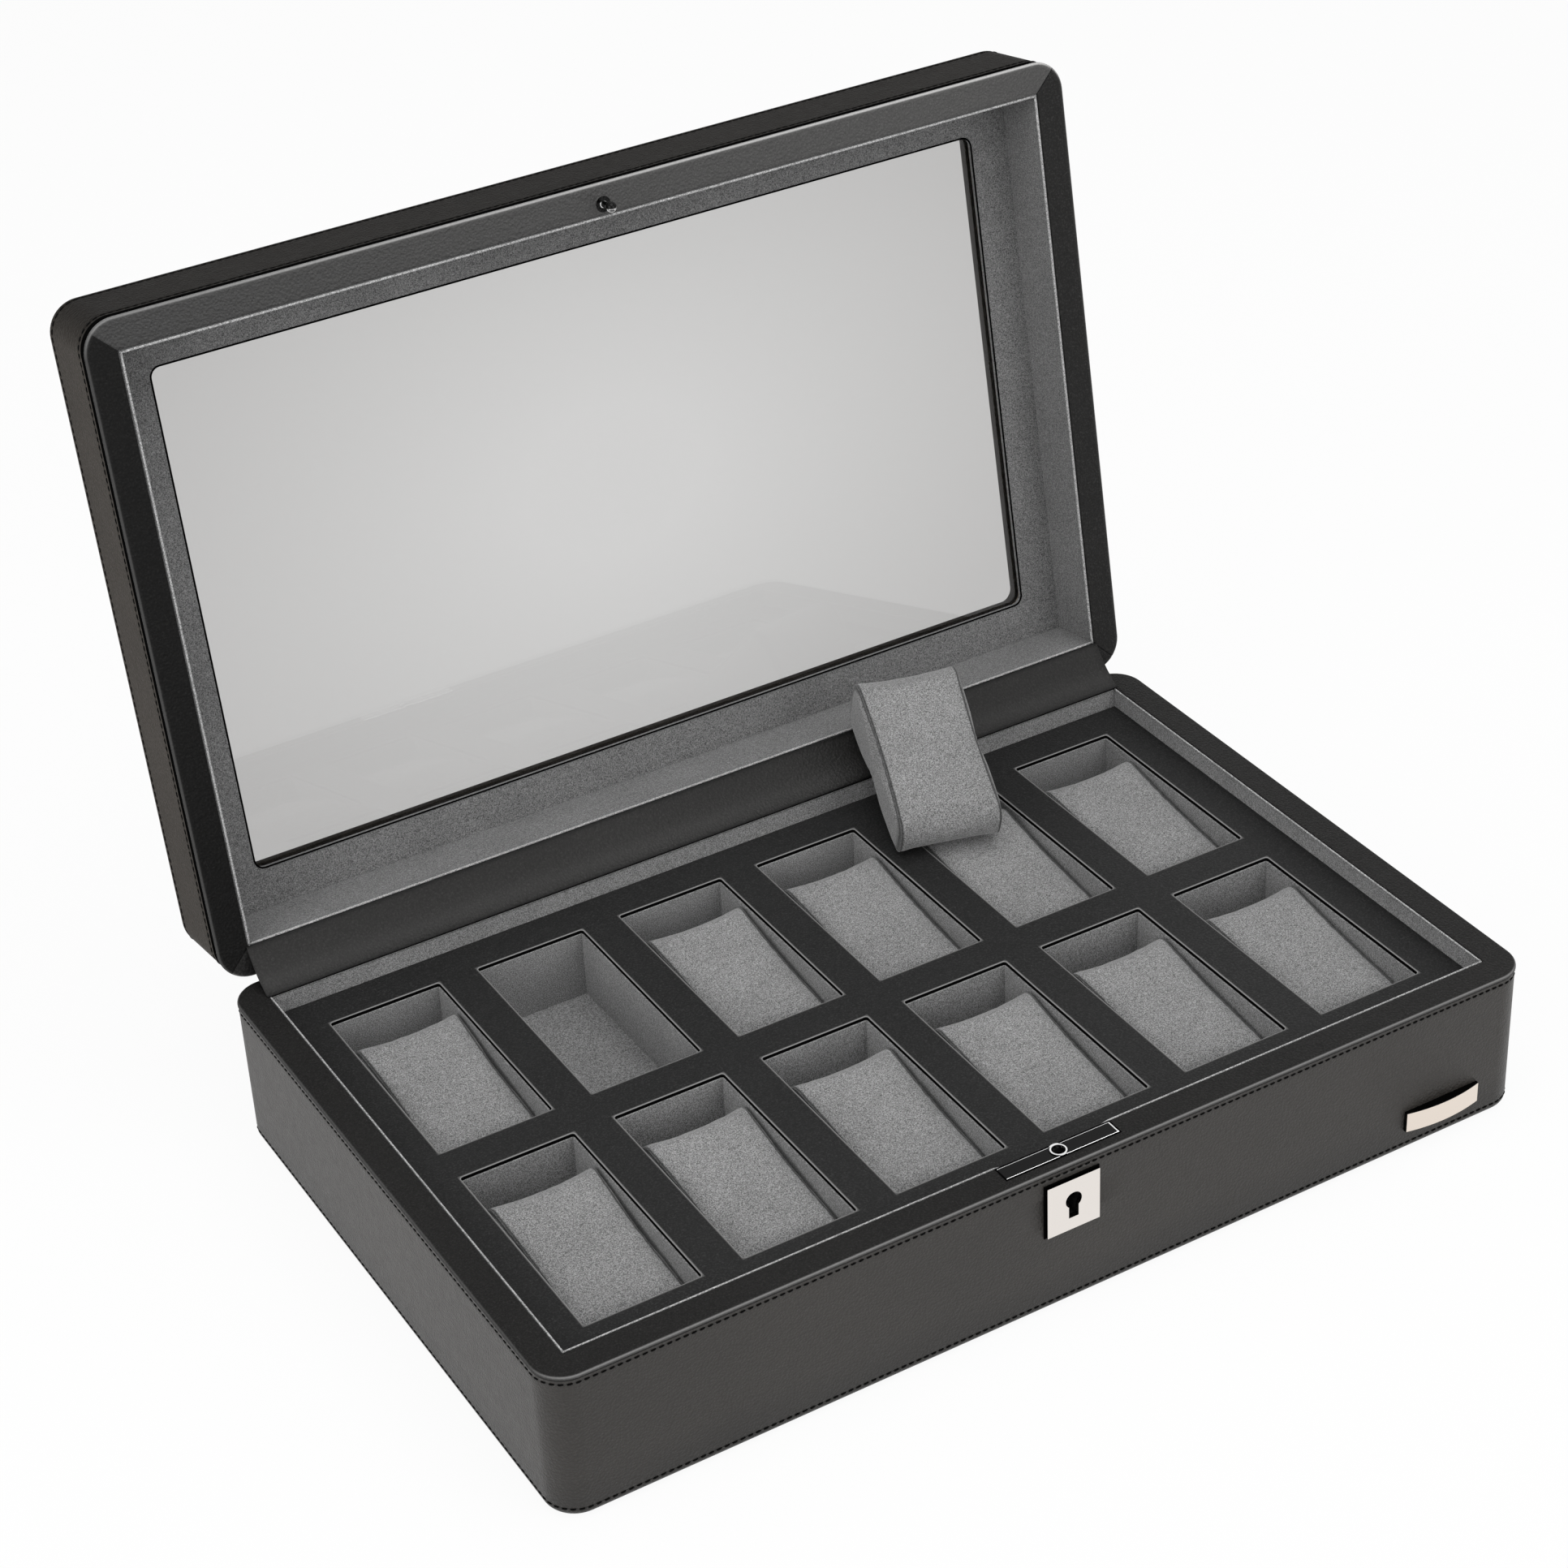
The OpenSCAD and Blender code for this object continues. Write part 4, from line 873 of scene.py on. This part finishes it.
def makePlate():
    # flat sheet of cells between the windows, joined to a rounded edge round each window
    s = plateSpec
    top, foot = case["plateTop"], case["plateFoot"]
    cx = (np.arange(case["columns"]) - (case["columns"] - 1) / 2) * case["pitchX"]
    cy = np.array([-0.5, 0.5]) * case["pitchY"]
    wx, wy = case["windowX"] + s["ring"], case["windowY"] + s["ring"]
    xs = np.sort(np.concatenate([[-s["halfX"], s["halfX"]], cx - wx, cx + wx]))
    ys = np.sort(np.concatenate([[-s["halfY"], s["halfY"]], cy - wy, cy + wy]))
    verts, faces, fold, paint = [], [], [], []
    gx, gy = np.meshgrid(xs, ys, indexing="ij")
    cells = gridQuads(len(xs), len(ys))
    mid = np.stack([gx.ravel()[cells].mean(1), gy.ravel()[cells].mean(1)], 1)
    hole = (np.abs(mid[:, 0, None] - cx) < wx).any(1) & (np.abs(mid[:, 1, None] - cy) < wy).any(1)
    for z, flip in ((top, False), (foot, True)):
        start = sum(len(v) for v in verts)
        verts.append(np.stack([gx.ravel(), gy.ravel(), np.full(gx.size, z)], 1))
        fold.append(np.zeros(gx.size))
        solid = cells[~hole] + start
        faces.append(solid[:, ::-1] if flip else solid)
    # the outer edge goes round through the same points as the top and the foot
    sideX, sideY = np.ones(len(xs) - 1), np.ones(len(ys) - 1)
    border = np.concatenate([np.c_[xs[:-1], sideX * ys[0]], np.c_[sideY * xs[-1], ys[:-1]],
                             np.c_[xs[:0:-1], sideX * ys[-1]], np.c_[sideY * xs[0], ys[:0:-1]]])
    start = sum(len(v) for v in verts)
    n = len(border)
    verts.append(np.concatenate([np.c_[border, np.full(n, top)], np.c_[border, np.full(n, foot)]]))
    fold.append(np.zeros(2 * n))
    k = np.arange(n)
    faces.append(np.stack([k, k + n, (k + 1) % n + n, (k + 1) % n], 1) + start)
    r, e = s["cornerR"], s["edgeR"]
    profile = [(r + e, 0.0)] + bend(r + e, -e, e, 100, 180, 6)[1:] + [(r, foot - top)]
    for x in cx:
        for y in cy:
            centre, normal = ringPath(case["windowX"] - r, case["windowY"] - r, coarse)
            ring = sweepRing(centre, normal, profile)
            ring[..., 2] += top
            sign = np.sign(centre)
            square = np.concatenate([sign * (wx, wy), np.full((len(sign), 1), top)], 1)
            under = square + (0, 0, foot - top)
            ring = np.concatenate([square[:, None], ring, under[:, None]], 1) + (x, y, 0)
            start = sum(len(v) for v in verts)
            verts.append(ring.reshape(-1, 3))
            # the crest of each window's rounded edge is paler, a painted highlight
            paintedHighlight = np.zeros(ring.shape[:2])
            paintedHighlight[:, 1:4] = s["paintedHighlight"]
            fold.append(paintedHighlight.ravel())
            faces.append(gridQuads(*ring.shape[:2], True, False, start=start))
            # below the rounded edge the window's side is painted black, painted shade
            dark = np.zeros((len(ring), ring.shape[1] - 1))
            dark[:, 4:] = 1
            paint.append(dark.ravel())
    paint.insert(0, np.zeros(sum(len(f) for f in faces) - sum(len(q) for q in paint)))
    return makePiece("trayPlateLeather", np.concatenate(verts), [np.concatenate(faces)], "base",
                     [leather["plate"], shadowBlack], ["tray_plate"], smooth=False,
                     values={"fold": np.concatenate(fold)}, paint=np.concatenate(paint))


makePlate()
print("tray plate made")

hingeSpec = {
    "halfWide": 188.7, "thick": 0.6, "low": (114.2, 61.9), "lidUp": 0.1, "sag": 1.6, "rows": 40, "cols": 120,
    "ripple": 0.12, "waves": 9.0, "waveAt": 1.3, "tuckW": 0.05, "tuckDark": 0.9,
    "gleam": 0.014, "gleamAt": 0.26, "gleamW": 0.17,
}


def makeHingeStrip():
    # sheet drawn from the base's rear liner to the open lid's inner edge, with a shallow belly
    s = hingeSpec
    low = np.array(s["low"])
    high = openLid(np.array([[0.0, low[0], case["lidFoot"] + s["lidUp"]]]))[0, 1:]
    v = np.linspace(0, 1, s["rows"])
    chord = high - low
    side = np.array([chord[1], -chord[0]]) / np.linalg.norm(chord)
    line = low + v[:, None] * chord + (4 * v * (1 - v) * s["sag"])[:, None] * side
    u = np.linspace(-1, 1, s["cols"])
    ripple = s["ripple"] * np.sin(u * s["waves"] + s["waveAt"])[:, None] * np.sin(math.pi * v)[None]
    face = np.zeros((s["cols"], s["rows"], 3))
    face[..., 0] = u[:, None] * s["halfWide"]
    face[..., 1:] = line[None] + ripple[..., None] * side
    back = face.copy()
    back[..., 1:] -= side * s["thick"]
    points = np.concatenate([face, back[:, ::-1]], 1)
    n = points.shape[1]
    sheetFaces = gridQuads(s["cols"], n, False, True, flip=True)
    ends = []
    for c, flip in ((0, True), (s["cols"] - 1, False)):
        k = np.arange(s["rows"] - 1)
        quad = np.stack([k, k + 1, n - 2 - k, n - 1 - k], 1) + c * n
        ends.append(quad[:, ::-1] if flip else quad)
    # a painted highlight lies along the lower part of the sheet's belly, and painted shade darkens both
    # tucked edges
    tuck = s["tuckDark"] * (np.exp(-(v / s["tuckW"]) ** 2) + np.exp(-((1 - v) / s["tuckW"]) ** 2))
    paintedHighlight = s["gleam"] * np.exp(-((v - s["gleamAt"]) / s["gleamW"]) ** 2)
    shade, paintedHighlight = (np.tile(np.concatenate([k, k[::-1]]), s["cols"]) for k in (tuck, paintedHighlight))
    piece = makePiece("hingeStripLeather", points, [sheetFaces, *ends], None,
                      leather["strip"], ["hinge_strip"], values={"shade": shade, "fold": paintedHighlight})
    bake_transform(piece)
    return piece


makeHingeStrip()
print("hinge strip made")

# cushions that are thick at the back, and the cloth that is blown up to shape them
cushionSpec = {
    "wide": 40.6, "long": 69.4, "backT": 27.0, "frontT": 18.6, "edgeR": 6.2, "outline": 120,
    "pullIn": 0.5, "acrossEdge": (0, 0.5, 1.1, 2.0), "across": 22, "middle": (0.53, 0.42),
    "shrink": (0.955, 0.90, 0.80, 0.66, 0.50, 0.34, 0.18), "depthMid": 0.45,
    "seamOut": 0.12, "creaseIn": 0.30, "seamDark": 0.5, "creaseShade": 0.9,
    "seatZ": 24.8, "seatX": 21.25, "seatBack": 38.4,
    "tip": 9.5, "looseAt": (77.0, 71.2, 64.8), "looseTurn": -15.0, "looseLean": 22.0,
}
clothSpec = {
    "scale": 20.0, "seeds": (3, 8, 21), "rough": 0.06, "sewn": 0.75, "quality": 6, "mass": 0.3,
    "stretch": 12, "shear": 6, "bending": 1.5, "pressure": 3.0, "cap": 1.5, "frames": 16,
}


def wedgeOutline(s, count):
    # side outline as the hull of four circles, sampled evenly; y runs back and z up
    r, l = s["edgeR"], s["long"]
    slope = math.atan2(s["backT"] - s["frontT"], l - 2 * r)
    spots = [(l - r, r, -90, 0), (l - r, s["backT"] - r, 0, 90 + math.degrees(slope)),
             (r, s["frontT"] - r, 90 + math.degrees(slope), 180), (r, r, 180, 270)]
    line = np.concatenate([np.array(bend(y, z, r, a, b, 14)) for y, z, a, b in spots])
    line = np.concatenate([line, line[:1]])
    run = np.concatenate([[0], np.cumsum(np.linalg.norm(np.diff(line, axis=0), axis=1))])
    at = np.linspace(0, run[-1], count, endpoint=False)
    return np.stack([np.interp(at, run, line[:, k]) for k in (0, 1)], 1)


def cushionShell(s):
    # one panel runs round the outline, and a flat gusset of shrinking rings closes each side
    line = wedgeOutline(s, s["outline"])
    n = len(line)
    half = s["wide"] / 2
    edge = np.array(s["acrossEdge"])
    inner = np.linspace(edge[-1], s["wide"] - edge[-1], s["across"])[1:-1]
    x = np.concatenate([edge, inner, s["wide"] - edge[::-1]]) - half
    m = len(x)
    panel = np.zeros((n, m, 3))
    pull = s["pullIn"] * np.sin(math.pi * np.clip(line[:, 0] / s["long"], 0, 1))
    panel[..., 0] = x[None] * (1 - pull[:, None] / half)
    panel[..., 1:] = line[:, None]
    middle = np.array([s["long"], s["backT"]]) * s["middle"]
    shrink = np.array(s["shrink"])
    verts = [panel.reshape(-1, 3)]
    for side in (-1, 1):
        ring = np.zeros((len(shrink), n, 3))
        ring[..., 1:] = middle + shrink[:, None, None] * (line - middle)
        ring[..., 0] = side * (half - pull[None])
        verts += [ring.reshape(-1, 3), [[side * half, *middle]]]
    verts = np.concatenate(verts)
    i = np.arange(n)
    j = (i + 1) % n
    faces = [gridQuads(n, m, True, False)]
    k = len(shrink)
    for g, column in ((0, 0), (1, m - 1)):
        start = n * m + g * (k * n + 1)
        loops = [i * m + column] + [start + q * n + i for q in range(k)]
        quads = np.concatenate([np.stack([a[i], a[j], b[j], b[i]], 1) for a, b in zip(loops, loops[1:])])
        pole = np.stack([loops[-1][i], loops[-1][j], np.full(n, start + k * n)], 1)
        faces += [quads, pole] if g else [quads[:, ::-1], pole[:, ::-1]]
    seam = np.zeros(len(verts))
    seam[np.concatenate([i * m, i * m + m - 1])] = 1
    crease = np.zeros(len(verts))
    crease[np.concatenate([i * m + 1, i * m + m - 2, n * m + i, n * m + k * n + 1 + i])] = 1
    return verts, faces, seam, crease


def inflate(verts, faces, seam, seed):
    # cloth under pressure at a larger scale; the sewn edge is held most, and no point may
    # travel further than the cap
    s = clothSpec
    scale = s["scale"] / 1000
    rng = np.random.default_rng(seed)
    rough = verts + rng.normal(0, s["rough"], verts.shape)
    mesh = bpy.data.meshes.new("work")
    mesh.from_pydata((rough * scale).tolist(), [], [list(f) for g in faces for f in g.tolist()])
    work = bpy.data.objects.new("work", mesh)
    scene.collection.objects.link(work)
    pin = work.vertex_groups.new(name="sewn")
    pin.add([int(v) for v in np.nonzero(seam)[0]], s["sewn"], "REPLACE")
    cloth = work.modifiers.new("cloth", "CLOTH").settings
    cloth.quality = s["quality"]
    cloth.mass = s["mass"]
    cloth.tension_stiffness = s["stretch"]
    cloth.compression_stiffness = s["stretch"]
    cloth.shear_stiffness = s["shear"]
    cloth.bending_stiffness = s["bending"]
    cloth.use_pressure = True
    cloth.uniform_pressure_force = s["pressure"]
    cloth.vertex_group_mass = "sewn"
    cloth.effector_weights.gravity = 0
    for f in range(1, s["frames"] + 1):
        scene.frame_set(f)
    solved = work.evaluated_get(bpy.context.evaluated_depsgraph_get()).to_mesh()
    out = np.zeros(len(verts) * 3)
    solved.vertices.foreach_get("co", out)
    bpy.data.objects.remove(work)
    scene.frame_set(1)
    move = out.reshape(-1, 3) / scale - verts
    far = np.linalg.norm(move, axis=1, keepdims=True)
    return verts + move * np.minimum(1, s["cap"] / np.maximum(far, 1e-9))


def makeCushionShapes(s):
    # the seam stands out a little and is dark, and a crease runs along both sides of it with painted shade
    verts, faces, seam, crease = cushionShell(s)
    centre = np.array([0, s["long"] / 2, s["backT"] * s["depthMid"]])
    shapes = []
    for seed in clothSpec["seeds"]:
        soft = inflate(verts, faces, seam, seed)
        soft[:, 0] = np.clip(soft[:, 0], -s["seatX"], s["seatX"])
        soft[:, 2] = np.maximum(soft[:, 2], 0.0)
        away = soft - centre
        away /= np.linalg.norm(away, axis=1, keepdims=True)
        shapes.append(soft + away * (s["seamOut"] * seam - s["creaseIn"] * crease)[:, None])
    dark = np.maximum(s["seamDark"] * seam, s["creaseShade"] * crease)
    return shapes, faces, dark


shapes, cushionFaces, seamDark = makeCushionShapes(cushionSpec)
print("cushion shapes solved")


def makeCushion(node, shape, place):
    # one of the solved shapes moved to its place and smoothed once
    piece = makePiece(node + "_suede", place(shape), cushionFaces, node, suede["cushion"],
                      [node], values={"seam": seamDark})
    sub = piece.modifiers.new("smooth", "SUBSURF")
    sub.levels = sub.render_levels = 1
    return piece


def seated(column, row):
    # what moves a shape to the floor of its compartment
    s = cushionSpec
    x = (column - (case["columns"] - 1) / 2) * case["pitchX"]
    at = np.array([x, row * case["pitchY"] / 2 - s["seatBack"], s["seatZ"]])
    return lambda shape: shape + at


def looseShape(shape):
    # leans back about its thin end, then turns a little to the right
    s = cushionSpec
    x, y, z = (shape - (0, s["tip"], s["tip"])).T
    y, z = turned(y, z, s["looseLean"])
    x, y = turned(x, y, s["looseTurn"])
    return np.stack([x, y, z], 1) + s["looseAt"]


count = 0
for rowName, row in (("rear", 1), ("front", -1)):
    for column in range(case["columns"]):
        node = f"cushion_{rowName}_{column + 1}"
        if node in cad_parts:
            makeCushion(node, shapes[count % len(shapes)], seated(column, row))
            count += 1
makeCushion("loose_cushion", shapes[0], looseShape)
print("cushions made:", count + 1)

# finishes of the CAD nodes that stay
nodeFinish = {
    "liningSuede": ["compartment_floor_lining", "tray_liner_strips", "edge_blocks", "long_divider",
                    "rear_cross_dividers", "front_cross_dividers"],
    "lidLiningSuede": ["lid_wall_liner", "lid_glass_frame"],
    # the front panel shows only through the keyhole, painted near black as painted shade
    "keyholeShadeBoard": ["base_front_panel"],
    "paleBoard": ["bottom_board", "base_rear_panel", "base_left_panel",
                  "base_right_panel", "floor_battens", "tray_false_floor", "lid_front_panel",
                  "lid_rear_panel", "lid_left_panel", "lid_right_panel", "lid_top_frame"],
    "lockPlateMetal": ["lock_top_plate"],
    "escutcheonMetal": ["escutcheon"],
    "namePlateMetal": ["name_plate"],
    "ballMetal": ["catch_pin"],
    "darkMetal": ["catch_plate"],
    "wardShadeAndGlint": ["lock_cam"],
    "steelMetal": ["lock_case", "lock_bolt", "hinge_base_leaves", "hinge_pins",
                   "hinge_base_screws", "hinge_lid_leaves", "hinge_lid_screws"],
    "blackFelt": ["underside_pad"],
    "gasketRubber": ["glass_gasket"],
    "clearGlass": ["glass_pane"],
}
for finish, nodes in nodeFinish.items():
    for node in nodes:
        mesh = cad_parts[node].data
        mesh.materials.clear()
        mesh.materials.append(bpy.data.materials[finish])
print("nodes finished")

# strength of the background, and place, aim, size and power of each lamp, in metres and watts
lightSpec = {
    "world": 0.42,
    "left": {"at": (-1.5, -0.5, 0.75), "to": (0, 0, 0.05), "size": 1.3, "power": 12},
    "top": {"at": (0.1, -0.4, 1.9), "to": (0, 0, 0.05), "size": 1.6, "power": 19},
    "front": {"at": (0.7, -1.7, 0.8), "to": (0, 0, 0.05), "size": 1.2, "power": 9},
}
floorSpec = {"half": 6, "grey": 0.86, "seenWhite": 0.93}


def seenDirectly(tree):
    # 1 for camera, glossy and transmission rays, and 0 for the rest
    path = tree.nodes.new("ShaderNodeLightPath")
    total = path.outputs["Is Camera Ray"]
    for name in ("Is Glossy Ray", "Is Transmission Ray"):
        total = addNode(tree, "Math", {0: total, 1: path.outputs[name]}, operation="MAXIMUM")
    return total


def makeWorld():
    # white where it is seen, and weaker as a light
    world = bpy.data.worlds.new("studio")
    world.use_nodes = True
    tree = world.node_tree
    plain = tree.nodes["Background"]
    plain.inputs["Color"].default_value = (1, 1, 1, 1)
    plain.inputs["Strength"].default_value = lightSpec["world"]
    white = addNode(tree, "Background", {"Color": (1, 1, 1, 1), "Strength": 1.0})
    mix = addNode(tree, "MixShader", {"Fac": seenDirectly(tree), 1: plain.outputs[0], 2: white})
    tree.links.new(mix, tree.nodes["World Output"].inputs["Surface"])
    scene.world = world


def makeFloor():
    # mostly plain white where the camera sees it, with a little of its own shading
    s = floorSpec
    h = s["half"]
    mesh = bpy.data.meshes.new("floor")
    mesh.from_pydata([(-h, -h, 0), (h, -h, 0), (h, h, 0), (-h, h, 0)], [], [(0, 1, 2, 3)])
    floor = bpy.data.objects.new("floor", mesh)
    scene.collection.objects.link(floor)
    material = bpy.data.materials.new("floorWhite")
    material.use_nodes = True
    tree = material.node_tree
    shader = tree.nodes["Principled BSDF"]
    shader.inputs["Base Color"].default_value = (*grey(s["grey"]), 1)
    shader.inputs["Roughness"].default_value = 1.0
    shader.inputs["Specular IOR Level"].default_value = 0.0
    white = addNode(tree, "Emission", {"Strength": 1.0})
    share = addNode(tree, "Math", {0: seenDirectly(tree), 1: s["seenWhite"]}, operation="MULTIPLY")
    mix = addNode(tree, "MixShader", {"Fac": share, 1: shader.outputs[0], 2: white})
    tree.links.new(mix, tree.nodes["Material Output"].inputs["Surface"])
    mesh.materials.append(material)


def makeLamp(name, spec):
    # square lamp whose back direction points away from what it aims at
    data = bpy.data.lights.new(name, "AREA")
    data.shape = "SQUARE"
    data.size = spec["size"]
    data.energy = spec["power"]
    at, to = np.array(spec["at"]), np.array(spec["to"])
    back = (at - to) / np.linalg.norm(at - to)
    right = np.cross((0, 0, 1), back)
    right /= np.linalg.norm(right)
    placed(name, data, np.array([right, np.cross(back, right), back]), at)


makeWorld()
makeFloor()
for lampName in ("left", "top", "front"):
    makeLamp(lampName + "Lamp", lightSpec[lampName])
print("stage lit")
